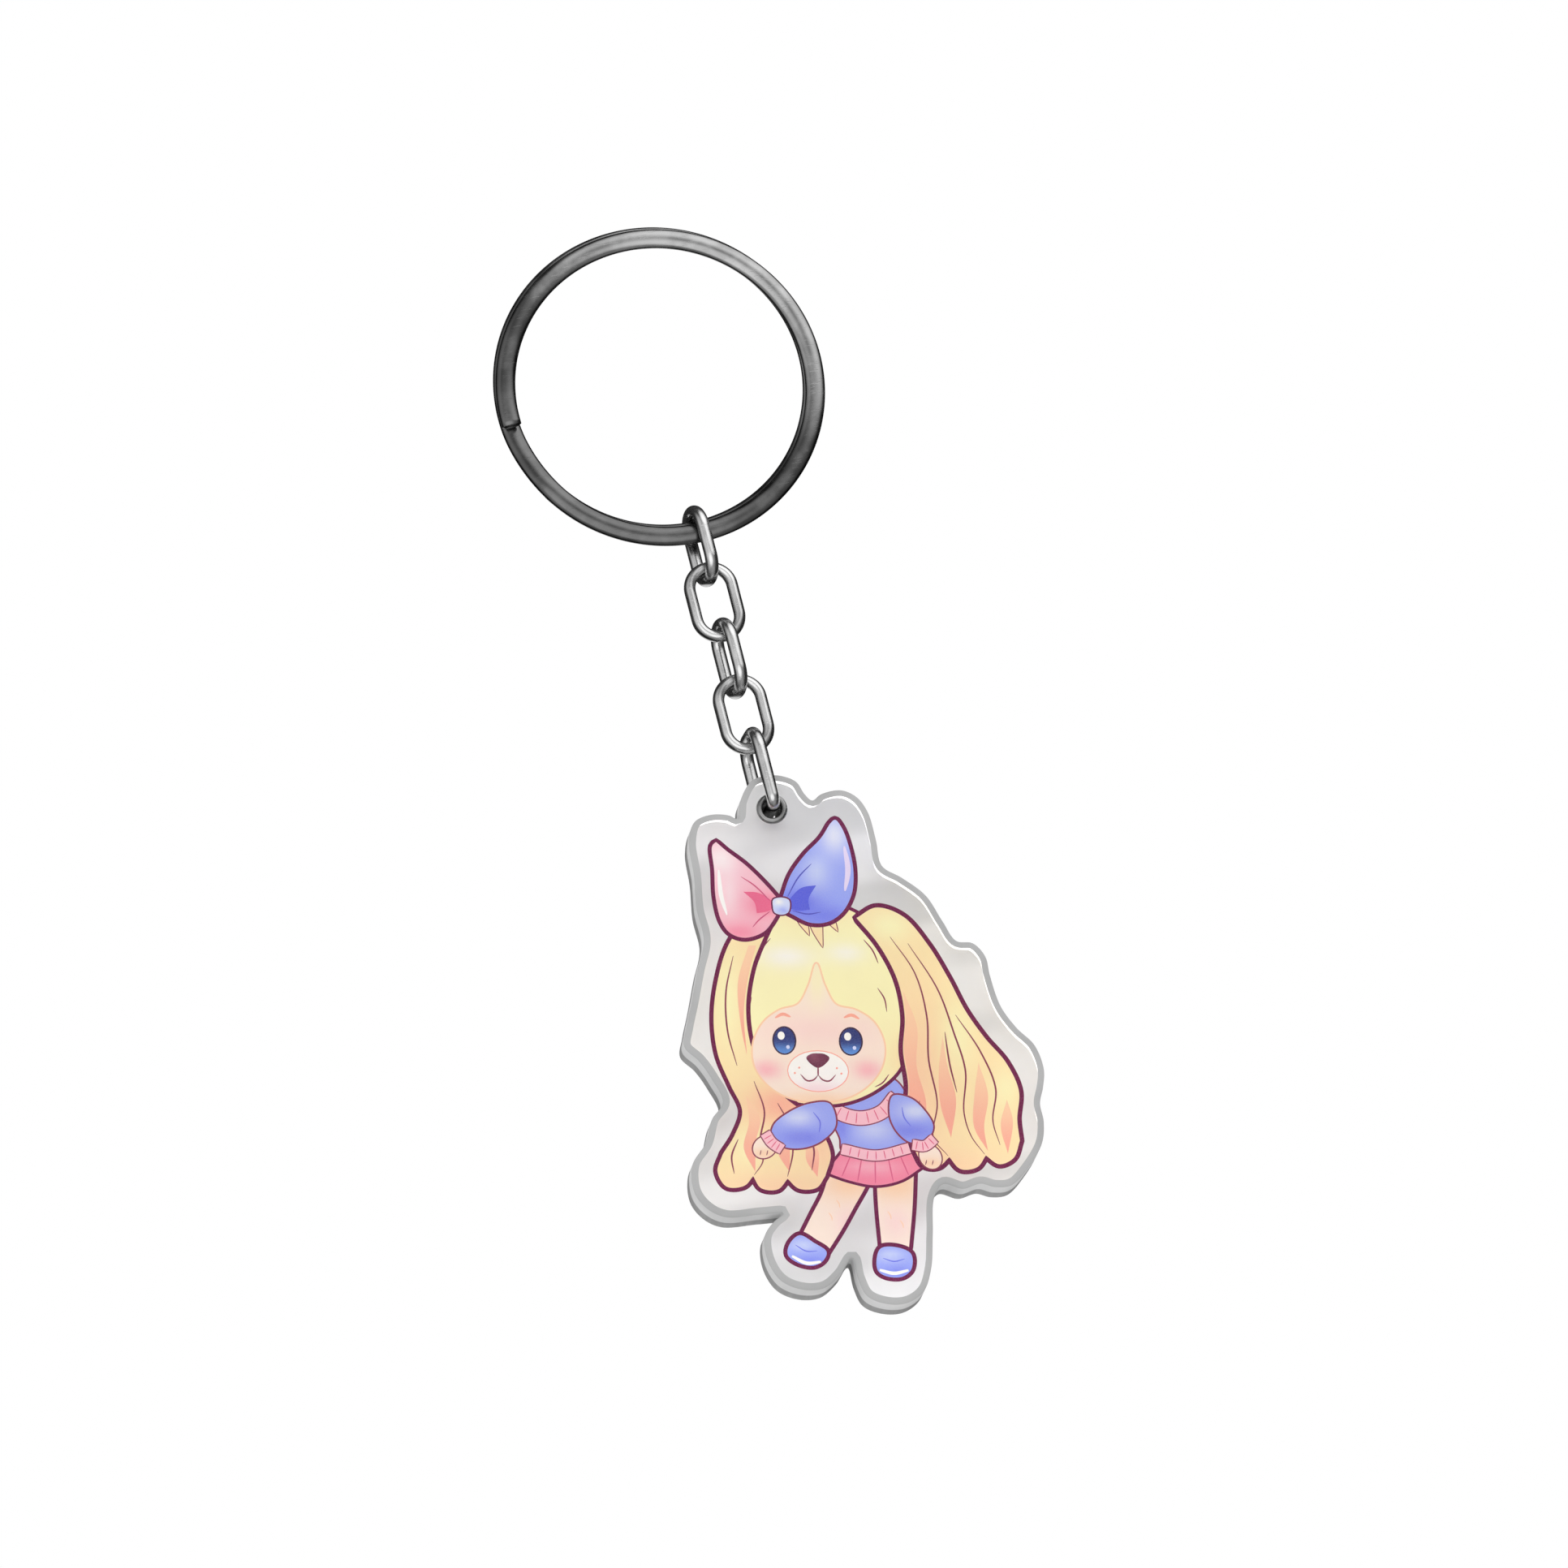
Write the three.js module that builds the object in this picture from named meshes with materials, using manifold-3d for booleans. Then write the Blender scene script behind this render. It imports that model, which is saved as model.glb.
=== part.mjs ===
// A keychain: a split key ring, five chain links and a flat acrylic charm with a figure-shaped outline.
// It hangs at rest, so +Z is up, +X is to the right seen from the front, and the charm's printed face looks
// along -Y. The origin is where a hook holds it: the top of the ring's inside. Millimetres.
import * as THREE from "three";
import Module from "manifold-3d";
import { mergeVertices } from "three/addons/utils/BufferGeometryUtils.js";

const wasm = await Module();
wasm.setup();

// ---- Driving dimensions -------------------------------------------------------------------------
const RING_OUTER_D = 30; // the common 30 mm split ring
const RING_BAND = 1.8; // radial width of the ring's wire
const RING_TURN = 1; // axial thickness of one turn
const RING_TURN_GAP = 0.1; // between the two turns
const BACK_TURN_LIFT = 0.55; // the back turn sits this much higher than the front one
const RING_SEAM = THREE.MathUtils.degToRad(184); // where the front turn ends, from +X towards +Z
const RING_JOG = THREE.MathUtils.degToRad(28); // arc in which the wire steps from one turn to the other
const RING_END_GAP = THREE.MathUtils.degToRad(1.2); // open slit at each cut end

const WIRE_D = 1.05; // chain wire, across the flat of a link
const LINK_DEPTH = 1.2; // the same wire, out of the link's plane
const SHACKLE_DEPTH = 1.2;
const LINK_LENGTH = 7.6; // outside, the four plain links
const SHACKLE_LENGTH = 8.35;
const LINK_WIDTH = 4.95; // outside, the four plain links
const SHACKLE_WIDTH = 6.9; // outside, the wide last link that goes round the charm
const SHACKLE_CORNER = 0.85; // centreline radius at the shackle's squarer lower end
const LINK_PLAY = 0.1; // between two links where they hang on each other
const RING_PLAY = 0.2; // between the ring's back turn and the first link
const LINK_TWIST = THREE.MathUtils.degToRad(12); // the edge-on links sit turned a little about the chain
const SHACKLE_TWIST = THREE.MathUtils.degToRad(4);

const CHARM_THICKNESS = 4; // front plate, print film and back plate together
const FILM_THICKNESS = 0.25;
const CHARM_CHAMFER = 0.35; // on the outer edges of the charm's two faces
const CHARM_TILT = THREE.MathUtils.degToRad(13.2); // the charm hangs off-centre, clockwise seen from the front

const EYELET_BORE_R = 0.85;
const EYELET_BARREL_R = 1.05;
const EYELET_FLANGE_R = 1.42;
const EYELET_FLANGE = 0.3; // thickness that stands proud of each face
const PLATE_HOLE_R = 1.1;
const SHACKLE_ABOVE_HOLE = 0.2; // the shackle's wire runs this far above the hole's centre

// ---- Mesh resolution ----------------------------------------------------------------------------
const RING_STEP = THREE.MathUtils.degToRad(6);
const RING_SIDES = 10;
const LINK_CORNER_STEPS = 6; // per quarter turn
const LINK_SIDES = 10;
const OUTLINE_STEPS = 180;
const HOLE_STEPS = 24;
const SQUARENESS = 3; // superellipse exponent of the ring's section

// ---- Places that follow from them ---------------------------------------------------------------
const ringMiddleR = RING_OUTER_D / 2 - RING_BAND / 2;
const ringInnerR = RING_OUTER_D / 2 - RING_BAND;
const frontTurnZ = -ringInnerR; // the front turn's centre
const linkPitch = LINK_LENGTH - 2 * WIRE_D - LINK_PLAY;
const firstLinkTopZ = frontTurnZ + BACK_TURN_LIFT - ringInnerR + RING_PLAY + WIRE_D / 2; // wire's centre
const SHACKLE_INDEX = 4;
const loopLength = (n) => (n === SHACKLE_INDEX ? SHACKLE_LENGTH : LINK_LENGTH);
const linkCentreZ = (n) => firstLinkTopZ - n * linkPitch - (loopLength(n) - WIRE_D) / 2;
const shackleBottomZ = linkCentreZ(SHACKLE_INDEX) - (SHACKLE_LENGTH - WIRE_D) / 2;
const holeCentreZ = shackleBottomZ - SHACKLE_ABOVE_HOLE;

// ---- Materials ----------------------------------------------------------------------------------
const gunmetal = new THREE.MeshStandardMaterial({ color: 0x6e6e70, roughness: 0.35, metalness: 1 });
const linkMetal = new THREE.MeshStandardMaterial({ color: 0x87878a, roughness: 0.32, metalness: 1 });
const clearAcrylic = new THREE.MeshStandardMaterial({
  color: 0xe6e7e8,
  roughness: 0.08,
  metalness: 0,
  transparent: true,
  opacity: 0.35,
});
const printedFilm = new THREE.MeshStandardMaterial({ color: 0xf4e3c0, roughness: 0.5, metalness: 0 });

// ---- Shape helpers ------------------------------------------------------------------------------
// A solid swept by carrying a convex section along frames { at, across, along }: section point (s, t)
// lands at `at + s * across + t * along`. A closed sweep joins its last frame to its first.
function sweep(frames, section, closed) {
  const positions = [];
  for (const { at, across, along } of frames)
    for (const [s, t] of section)
      positions.push(...at.clone().addScaledVector(across, s).addScaledVector(along, t).toArray());
  const sides = section.length;
  const index = [];
  const spans = closed ? frames.length : frames.length - 1;
  for (let i = 0; i < spans; i++) {
    const j = (i + 1) % frames.length;
    for (let k = 0; k < sides; k++) {
      const next = (k + 1) % sides;
      const [a, b, c, d] = [i * sides + k, j * sides + k, j * sides + next, i * sides + next];
      index.push(a, b, c, a, c, d);
    }
  }
  if (!closed) {
    const last = (frames.length - 1) * sides;
    for (let k = 1; k < sides - 1; k++) {
      index.push(0, k, k + 1);
      index.push(last, last + k + 1, last + k);
    }
  }
  const geometry = new THREE.BufferGeometry();
  geometry.setAttribute("position", new THREE.Float32BufferAttribute(positions, 3));
  geometry.setIndex(index);
  return facingOut(geometry);
}

// Turns every face round if the closed geometry's volume comes out negative.
function facingOut(geometry) {
  const p = geometry.getAttribute("position");
  const index = geometry.index.array;
  const corner = (i) => new THREE.Vector3().fromBufferAttribute(p, index[i]);
  let volume = 0;
  for (let i = 0; i < index.length; i += 3)
    volume += corner(i).dot(corner(i + 1).cross(corner(i + 2)));
  if (volume < 0)
    for (let i = 0; i < index.length; i += 3) [index[i + 1], index[i + 2]] = [index[i + 2], index[i + 1]];
  geometry.computeVertexNormals();
  return geometry;
}

// Points of a superellipse with half sizes a and b; exponent 2 is an ellipse.
function superellipse(a, b, exponent, count) {
  const power = (x) => Math.sign(x) * Math.abs(x) ** (2 / exponent);
  return Array.from({ length: count }, (_, k) => {
    const u = (2 * Math.PI * k) / count;
    return [a * power(Math.cos(u)), b * power(Math.sin(u))];
  });
}

function solidOf(geometry) {
  const bare = (geometry.index ? geometry.toNonIndexed() : geometry.clone()).deleteAttribute("normal");
  bare.deleteAttribute("uv");
  const merged = mergeVertices(bare, 1e-4);
  return new wasm.Manifold(
    new wasm.Mesh({
      numProp: 3,
      vertProperties: merged.getAttribute("position").array,
      triVerts: new Uint32Array(merged.index.array),
    }),
  );
}

function geometryOf(solid) {
  const mesh = solid.getMesh();
  const geometry = new THREE.BufferGeometry();
  geometry.setAttribute("position", new THREE.BufferAttribute(mesh.vertProperties, 3));
  geometry.setIndex(new THREE.BufferAttribute(mesh.triVerts, 1));
  geometry.computeVertexNormals();
  return geometry;
}

function named(name, geometry, material) {
  const mesh = new THREE.Mesh(geometry, material);
  mesh.name = name;
  return mesh;
}

// ---- Split ring ---------------------------------------------------------------------------------
// One wire wound nearly twice round: a front turn, a short step to the back, and a back turn.
function splitRing() {
  const turnY = (RING_TURN + RING_TURN_GAP) / 2;
  const start = RING_END_GAP;
  const jogStart = 2 * Math.PI - RING_JOG;
  const jogEnd = 2 * Math.PI;
  const end = 4 * Math.PI - RING_JOG - RING_END_GAP;
  const towardsBack = (u) => THREE.MathUtils.smoothstep(u, jogStart, jogEnd);
  const steps = Math.round((end - start) / RING_STEP);
  const frames = Array.from({ length: steps + 1 }, (_, i) => {
    const u = start + ((end - start) * i) / steps;
    const angle = RING_SEAM - u; // wound clockwise seen from the front
    const out = new THREE.Vector3(Math.cos(angle), 0, Math.sin(angle));
    const at = out.clone().multiplyScalar(ringMiddleR);
    at.y = turnY * (2 * towardsBack(u) - 1);
    at.z += BACK_TURN_LIFT * towardsBack(u);
    return { at, across: out, along: new THREE.Vector3(0, 1, 0) };
  });
  const section = superellipse(RING_BAND / 2, RING_TURN / 2, SQUARENESS, RING_SIDES);
  const ring = named("split_ring", sweep(frames, section, false), gunmetal);
  ring.position.z = frontTurnZ;
  return ring;
}

// ---- Chain links --------------------------------------------------------------------------------
// A wire loop in the XZ plane, centred on the origin. Its corners have their own centreline radius at
// the top and at the bottom; a radius of half the width makes a round end.
function linkLoop(length, width, depth, topRadius, bottomRadius) {
  const halfWidth = (width - WIRE_D) / 2;
  const halfLength = (length - WIRE_D) / 2;
  const corners = [
    { x: halfWidth - topRadius, z: halfLength - topRadius, radius: topRadius, from: 0 },
    { x: topRadius - halfWidth, z: halfLength - topRadius, radius: topRadius, from: Math.PI / 2 },
    { x: bottomRadius - halfWidth, z: bottomRadius - halfLength, radius: bottomRadius, from: Math.PI },
    { x: halfWidth - bottomRadius, z: bottomRadius - halfLength, radius: bottomRadius, from: 1.5 * Math.PI },
  ];
  const frames = [];
  for (const { x, z, radius, from } of corners)
    for (let i = 0; i <= LINK_CORNER_STEPS; i++) {
      const angle = from + (i / LINK_CORNER_STEPS) * (Math.PI / 2);
      const out = new THREE.Vector3(Math.cos(angle), 0, Math.sin(angle));
      const at = new THREE.Vector3(x, 0, z).addScaledVector(out, radius);
      const last = frames.at(-1);
      if (last && last.at.distanceTo(at) < 1e-6) continue;
      frames.push({ at, across: out, along: new THREE.Vector3(0, 1, 0) });
    }
  if (frames[0].at.distanceTo(frames.at(-1).at) < 1e-6) frames.pop();
  return sweep(frames, superellipse(WIRE_D / 2, depth / 2, 2, LINK_SIDES), true);
}

function chainLinks() {
  const roundEnd = (LINK_WIDTH - WIRE_D) / 2;
  const plain = linkLoop(LINK_LENGTH, LINK_WIDTH, LINK_DEPTH, roundEnd, roundEnd);
  const shackle = linkLoop(SHACKLE_LENGTH, SHACKLE_WIDTH, SHACKLE_DEPTH, roundEnd, SHACKLE_CORNER);
  const edgeOn = -Math.PI / 2;
  const turns = [edgeOn + LINK_TWIST, 0, edgeOn + LINK_TWIST, 0, edgeOn + SHACKLE_TWIST];
  return turns.map((turn, n) => {
    const isShackle = n === SHACKLE_INDEX;
    const name = isShackle ? "charm_shackle" : `chain_link_${n + 1}`;
    const link = named(name, isShackle ? shackle : plain, linkMetal);
    link.position.z = linkCentreZ(n);
    link.rotation.z = turn;
    return link;
  });
}

// ---- Acrylic charm ------------------------------------------------------------------------------
// Outline points [right, up] from the hole's centre with the charm upright, clockwise from the top of its
// hanging tab: two lobes beside the tab, a wide right side, two feet, a left lobe and the left side.
const OUTLINE = [
  [0.1, 3.2], [1.2, 3.1], [2.3, 2.6], [3.0, 1.5], [3.7, 0.9], [4.5, 1.5], [6.3, 1.9], [7.7, 1.3],
  [8.7, -0.1], [9.4, -2.7], [9.9, -5.1], [11.7, -6.2], [13.8, -7.8], [15.3, -10.2], [16.5, -12.0],
  [18.0, -12.2], [19.1, -13.4], [19.5, -15.2], [20.4, -18.0], [21.8, -20.0], [23.4, -21.6],
  [24.2, -23.8], [24.1, -25.5], [23.8, -27.0], [24.1, -28.7], [23.9, -30.7], [22.6, -33.0],
  [21.1, -34.6], [19.6, -34.8], [18.3, -34.5], [16.7, -35.0], [14.9, -34.6], [14.1, -35.8],
  [13.9, -39.3], [13.7, -42.4], [13.0, -44.5], [11.5, -45.6], [9.6, -45.7], [7.9, -45.0],
  [7.1, -43.4], [6.6, -41.5], [5.5, -43.1], [4.1, -44.3], [2.2, -44.5], [0.2, -43.7], [-1.0, -41.8],
  [-1.2, -39.6], [-0.4, -38.3], [0.5, -37.5], [-1.4, -37.6], [-4.7, -37.9], [-6.4, -37.1],
  [-7.5, -35.6], [-7.6, -33.1], [-6.4, -31.1], [-5.8, -28.9], [-4.8, -27.3], [-5.8, -25.1],
  [-6.9, -23.5], [-8.2, -22.2], [-8.0, -20.5], [-7.5, -18.2], [-6.9, -15.1], [-6.3, -12.3],
  [-6.9, -9.4], [-7.1, -6.3], [-7.5, -3.2], [-7.0, -1.3], [-5.6, -0.6], [-3.9, -0.6], [-3.1, -0.9],
  [-2.8, 0.8], [-1.7, 2.7],
];

function outlineShape() {
  const curve = new THREE.CatmullRomCurve3(
    OUTLINE.map(([right, up]) => new THREE.Vector3(right, up, 0)),
    true,
    "centripetal",
  );
  const points = curve.getSpacedPoints(OUTLINE_STEPS).slice(0, -1);
  const shape = new THREE.Shape(points.map((p) => new THREE.Vector2(p.x, p.y)));
  const hole = Array.from({ length: HOLE_STEPS }, (_, k) => {
    const u = (2 * Math.PI * k) / HOLE_STEPS;
    return new THREE.Vector2(PLATE_HOLE_R * Math.cos(u), PLATE_HOLE_R * Math.sin(u));
  });
  shape.holes.push(new THREE.Path(hole));
  return shape;
}

// The whole sandwich, chamfered along the outer edges of both faces, front towards -Y.
function charmBlank() {
  const geometry = new THREE.ExtrudeGeometry(outlineShape(), {
    depth: CHARM_THICKNESS - 2 * CHARM_CHAMFER,
    bevelEnabled: true,
    bevelThickness: CHARM_CHAMFER,
    bevelSize: CHARM_CHAMFER,
    bevelOffset: -CHARM_CHAMFER,
    bevelSegments: 1,
  });
  geometry.translate(0, 0, CHARM_CHAMFER - CHARM_THICKNESS / 2);
  geometry.rotateX(Math.PI / 2);
  return solidOf(geometry);
}

// The slice of a solid between two depths.
function layer(solid, fromY, toY) {
  const span = 200;
  const slab = new THREE.BoxGeometry(span, toY - fromY, span);
  slab.translate(0, (fromY + toY) / 2, 0);
  return geometryOf(solid.intersect(solidOf(slab)));
}

// A rivet-like tube with a flange on each face of the charm.
function eyelet() {
  const face = CHARM_THICKNESS / 2;
  const lip = face + EYELET_FLANGE;
  const profile = [
    [EYELET_BORE_R, -lip], [EYELET_FLANGE_R, -lip], [EYELET_FLANGE_R, -face], [EYELET_BARREL_R, -face],
    [EYELET_BARREL_R, face], [EYELET_FLANGE_R, face], [EYELET_FLANGE_R, lip], [EYELET_BORE_R, lip],
    [EYELET_BORE_R, -lip],
  ];
  return new THREE.LatheGeometry(profile.map(([r, y]) => new THREE.Vector2(r, y)), HOLE_STEPS);
}

function charm() {
  const face = CHARM_THICKNESS / 2;
  const film = FILM_THICKNESS / 2;
  const blank = charmBlank();
  const group = new THREE.Group();
  group.add(
    named("front_acrylic", layer(blank, -face - 1, -film), clearAcrylic),
    named("print_film", layer(blank, -film, film), printedFilm),
    named("back_acrylic", layer(blank, film, face + 1), clearAcrylic),
    named("eyelet", eyelet(), linkMetal),
  );
  group.position.z = holeCentreZ;
  group.rotation.y = CHARM_TILT;
  return group;
}

// ---- The keychain -------------------------------------------------------------------------------
const keychain = new THREE.Group();
keychain.add(splitRing(), ...chainLinks(), charm());
export default keychain;
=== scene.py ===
"""A hanging keychain: split ring, cable chain, shackle, eyelet and a clear acrylic charm with a printed
inner layer.

Metres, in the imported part's frame: +Z up, the printed face towards -Y, the origin at the top of the ring's
inside.
"""

import math

import bpy
import numpy as np
from mathutils import Matrix, Vector
from mathutils.geometry import delaunay_2d_cdt


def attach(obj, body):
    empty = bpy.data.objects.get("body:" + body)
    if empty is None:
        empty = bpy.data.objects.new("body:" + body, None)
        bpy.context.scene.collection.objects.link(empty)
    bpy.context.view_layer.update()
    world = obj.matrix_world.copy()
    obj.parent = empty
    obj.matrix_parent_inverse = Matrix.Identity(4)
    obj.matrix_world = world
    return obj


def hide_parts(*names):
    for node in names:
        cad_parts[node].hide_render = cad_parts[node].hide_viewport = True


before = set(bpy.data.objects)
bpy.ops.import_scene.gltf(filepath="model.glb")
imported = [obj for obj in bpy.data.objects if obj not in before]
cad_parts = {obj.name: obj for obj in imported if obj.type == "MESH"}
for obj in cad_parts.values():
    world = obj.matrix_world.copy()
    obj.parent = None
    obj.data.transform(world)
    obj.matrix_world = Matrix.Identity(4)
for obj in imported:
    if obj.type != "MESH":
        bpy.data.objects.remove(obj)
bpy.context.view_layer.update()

MM = 0.001

# ---- The part's dimensions, millimetres ----------------------------------------------------------
RING_OUTER_R = 15.0
RING_BAND = 1.8
RING_TURN = 1.0
RING_TURN_GAP = 0.1
BACK_TURN_LIFT = 0.55
RING_SEAM = math.radians(184)
RING_JOG = math.radians(28)
RING_END_GAP = math.radians(1.2)

WIRE = 1.05
LINK_DEPTH = 1.2
SHACKLE_DEPTH = 1.2
LINK_LENGTH = 7.6
SHACKLE_LENGTH = 8.35
LINK_WIDTH = 4.95
SHACKLE_WIDTH = 6.9
SHACKLE_CORNER = 0.85
LINK_PLAY = 0.1
RING_PLAY = 0.2
LINK_TWIST = math.radians(12)
SHACKLE_TWIST = math.radians(4)

CHARM_THICKNESS = 4.0
CHARM_TILT = math.radians(13.2)
FRONT_RIM = (0.6, 0.25)  # its width seen from the front, and its depth
BACK_RIM = (0.15, 0.15)
FILM_MARGIN = 0.42  # the printed film stops this short of the edge
# The bare film's two greys, between which its bands of painted reflection run.
FILM_DARK, FILM_LIGHT = 216, 237
PLATE_HOLE_R = 1.1
EYELET_BORE_R = 0.85
EYELET_BARREL_R = 1.05
EYELET_FLANGE_R = 1.42
EYELET_FLANGE = 0.3
SHACKLE_ABOVE_HOLE = 0.2
LINK_COUNT = 4  # plain links above the shackle

# The cut edge's painted shade changes over these depths: from the grey front rim to the paler wall, then to
# the back plate's darker wall.
RIM_TO_WALL = (-1.78, -1.68)
WALL_TO_BACK = (0.1, 0.3)
STRIP_GAP = 0.04  # the pale strip lies this far inside the charm's wall
STRIP_END = (0.02, 0.03)  # its last row is this far in from the back rim, and this short of the back face
FILM_HOLE_GAP = 0.02

# How finely the meshes are cut.
RING_STEPS, RING_SIDES = 420, 36
RING_EXPONENT = 2.1  # the ring's section is a superellipse, a little squarer than round
CORNER_STEPS, WIRE_SIDES = 16, 28
RIM_STEPS = 6
LIP_STEPS = 12
HOLE_SIDES = 64
PRINT_GRID = 0.5  # millimetres between the points inside the printed shapes that carry their soft colours

RING_MIDDLE_R = RING_OUTER_R - RING_BAND / 2
RING_INNER_R = RING_OUTER_R - RING_BAND
FRONT_TURN_Z = -RING_INNER_R
LINK_PITCH = LINK_LENGTH - 2 * WIRE - LINK_PLAY
FIRST_LINK_TOP_Z = FRONT_TURN_Z + BACK_TURN_LIFT - RING_INNER_R + RING_PLAY + WIRE / 2


def link_centre_z(n, length=LINK_LENGTH):
    return FIRST_LINK_TOP_Z - n * LINK_PITCH - (length - WIRE) / 2


HOLE_Z = link_centre_z(LINK_COUNT, SHACKLE_LENGTH) - (SHACKLE_LENGTH - WIRE) / 2 - SHACKLE_ABOVE_HOLE

# The charm's own axes in the frame: right and up along its printed face, and out of that face.
CHARM_RIGHT = Vector((math.cos(CHARM_TILT), 0, -math.sin(CHARM_TILT)))
CHARM_UP = Vector((math.sin(CHARM_TILT), 0, math.cos(CHARM_TILT)))
CHARM_OUT = Vector((0, -1, 0))


def on_charm(right, up, y=0.0):
    """The frame point, in metres, that lies right and up of the hole's centre on the charm, in
    millimetres."""
    return (Vector((0, y, HOLE_Z)) + CHARM_RIGHT * right + CHARM_UP * up) * MM


# ---- Camera --------------------------------------------------------------------------------------
# A long lens a little below and left of the charm's normal, with the charm upright in the picture.
VIEW_TILT = math.radians(17.2)  # between the charm's normal and the line to the camera
LEAN_RIGHT, LEAN_UP = -0.371, -0.928  # the way that line leans, along the charm's own right and up
VIEW_CENTRE = (1.14, 2.34)  # the picture's middle, right and up of the hole, on the front face
VIEW_WIDTH = 141.0  # millimetres across the picture there
LENS, SENSOR = 400.0, 36.0

lean = Vector((LEAN_RIGHT, LEAN_UP)).normalized()
lean_in = CHARM_RIGHT * lean.x + CHARM_UP * lean.y
cross_in = CHARM_RIGHT * -lean.y + CHARM_UP * lean.x
to_camera = (CHARM_OUT * math.cos(VIEW_TILT) + lean_in * math.sin(VIEW_TILT)).normalized()
lean_seen = (lean_in * math.cos(VIEW_TILT) - CHARM_OUT * math.sin(VIEW_TILT)).normalized()
picture_right = lean_seen * lean.x + cross_in * -lean.y
picture_up = lean_seen * lean.y + cross_in * lean.x

camera_data = bpy.data.cameras.new("camera")
camera_data.lens = LENS
camera_data.sensor_width = SENSOR
camera_data.clip_start = 0.01
camera_data.clip_end = 50
camera = bpy.data.objects.new("camera", camera_data)
bpy.context.scene.collection.objects.link(camera)
distance = VIEW_WIDTH * MM * LENS / SENSOR
target = on_charm(*VIEW_CENTRE, y=-CHARM_THICKNESS / 2)
axes = Matrix((picture_right, picture_up, to_camera)).transposed().to_4x4()
camera.matrix_world = Matrix.Translation(target + to_camera * distance) @ axes
bpy.context.scene.camera = camera
bpy.context.scene.view_settings.view_transform = "Standard"


# ---- Node helpers --------------------------------------------------------------------------------
class Nodes:
    """Builds a node tree with short calls."""

    def __init__(self, tree):
        self.tree = tree
        tree.nodes.clear()

    def add(self, kind, inputs=(), **settings):
        node = self.tree.nodes.new(kind)
        for key, value in settings.items():
            setattr(node, key, value)
        for key, value in dict(inputs).items():
            if isinstance(value, bpy.types.NodeSocket):
                self.tree.links.new(value, node.inputs[key])
            else:
                node.inputs[key].default_value = value
        return node

    def math(self, operation, a, b):
        return self.add("ShaderNodeMath", {0: a, 1: b}, operation=operation).outputs[0]

    def ramp(self, value, low, high, to_low=0.0, to_high=1.0):
        """Carries a value smoothly from one range to another, held at both ends."""
        node = self.add(
            "ShaderNodeMapRange",
            {"Value": value, "From Min": low, "From Max": high, "To Min": to_low, "To Max": to_high},
            interpolation_type="SMOOTHSTEP",
        )
        return node.outputs[0]

    def mix(self, factor, a, b):
        node = self.add("ShaderNodeMix", {0: factor, 6: a, 7: b}, data_type="RGBA")
        return node.outputs[2]

    def surface(self, inputs):
        """The one shader of a material, joined to its output."""
        shader = self.add("ShaderNodeBsdfPrincipled", inputs)
        self.add("ShaderNodeOutputMaterial", {"Surface": shader.outputs[0]})


def blank_material(name):
    """A new material and its empty node tree."""
    material = bpy.data.materials.new(name)
    material.use_nodes = True
    return material, Nodes(material.node_tree)


def linear(rgb):
    """Linear RGBA from 8-bit sRGB."""
    def one(c):
        c /= 255
        return c / 12.92 if c <= 0.04045 else ((c + 0.055) / 1.055) ** 2.4
    return (*(one(c) for c in rgb), 1.0)


def grey(value):
    return linear((value, value, value))


# ---- Studio --------------------------------------------------------------------------------------
def studio():
    """White to the camera, even soft light for the print and the acrylic, and, where metal mirrors it, a
    few soft lights on a dark surround, which give the plating its dark edges."""
    world = bpy.data.worlds.new("studio")
    bpy.context.scene.world = world
    world.use_nodes = True
    n = Nodes(world.node_tree)
    direction = n.add("ShaderNodeTexCoord").outputs["Generated"]

    def facing(x, y, z):
        axis = Vector((x, y, z)).normalized()
        dot = n.add("ShaderNodeVectorMath", {0: direction, 1: tuple(axis)}, operation="DOT_PRODUCT")
        return dot.outputs["Value"]

    # What metal mirrors: a wide front light, smaller soft lights round it, and dark elsewhere.
    front = n.ramp(facing(*to_camera), 0.15, 0.75, 0.02, 0.34)
    centre = n.ramp(facing(*to_camera), 0.8, 0.975, 0.0, 1.2)
    upper = n.ramp(facing(-0.75, -0.5, 0.45), 0.8, 0.98, 0.0, 0.4)
    key = n.ramp(facing(0.55, -0.55, 0.65), 0.72, 0.97, 0.0, 1.5)
    fill = n.ramp(facing(-0.75, -0.6, -0.2), 0.8, 0.98, 0.0, 0.25)
    strip = n.ramp(facing(0.2, -0.25, -0.95), 0.85, 0.98, 0.0, 0.12)
    below = n.ramp(facing(-0.1, 0.95, -0.28), 0.9, 0.98, 0.0, 0.9)
    mirrored = front
    for light in (centre, upper, key, fill, strip, below):
        mirrored = n.math("ADD", mirrored, light)
    # What light through the acrylic comes from: bright all round, to light the print, and plain white
    # straight behind.
    through = n.ramp(facing(*(-to_camera)), 0.88, 0.98, 2.15, 1.0)
    even = 1.04
    path = n.add("ShaderNodeLightPath")
    value = n.add("ShaderNodeMix", {0: path.outputs["Is Glossy Ray"], 2: even, 3: mirrored}).outputs[0]
    value = n.add("ShaderNodeMix", {0: path.outputs["Is Transmission Ray"], 2: value,
                                    3: through}).outputs[0]
    value = n.add("ShaderNodeMix", {0: path.outputs["Is Camera Ray"], 2: value, 3: 1.0}).outputs[0]
    background = n.add("ShaderNodeBackground", {"Color": value, "Strength": 1.0})
    n.add("ShaderNodeOutputWorld", {"Surface": background.outputs[0]})


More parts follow.
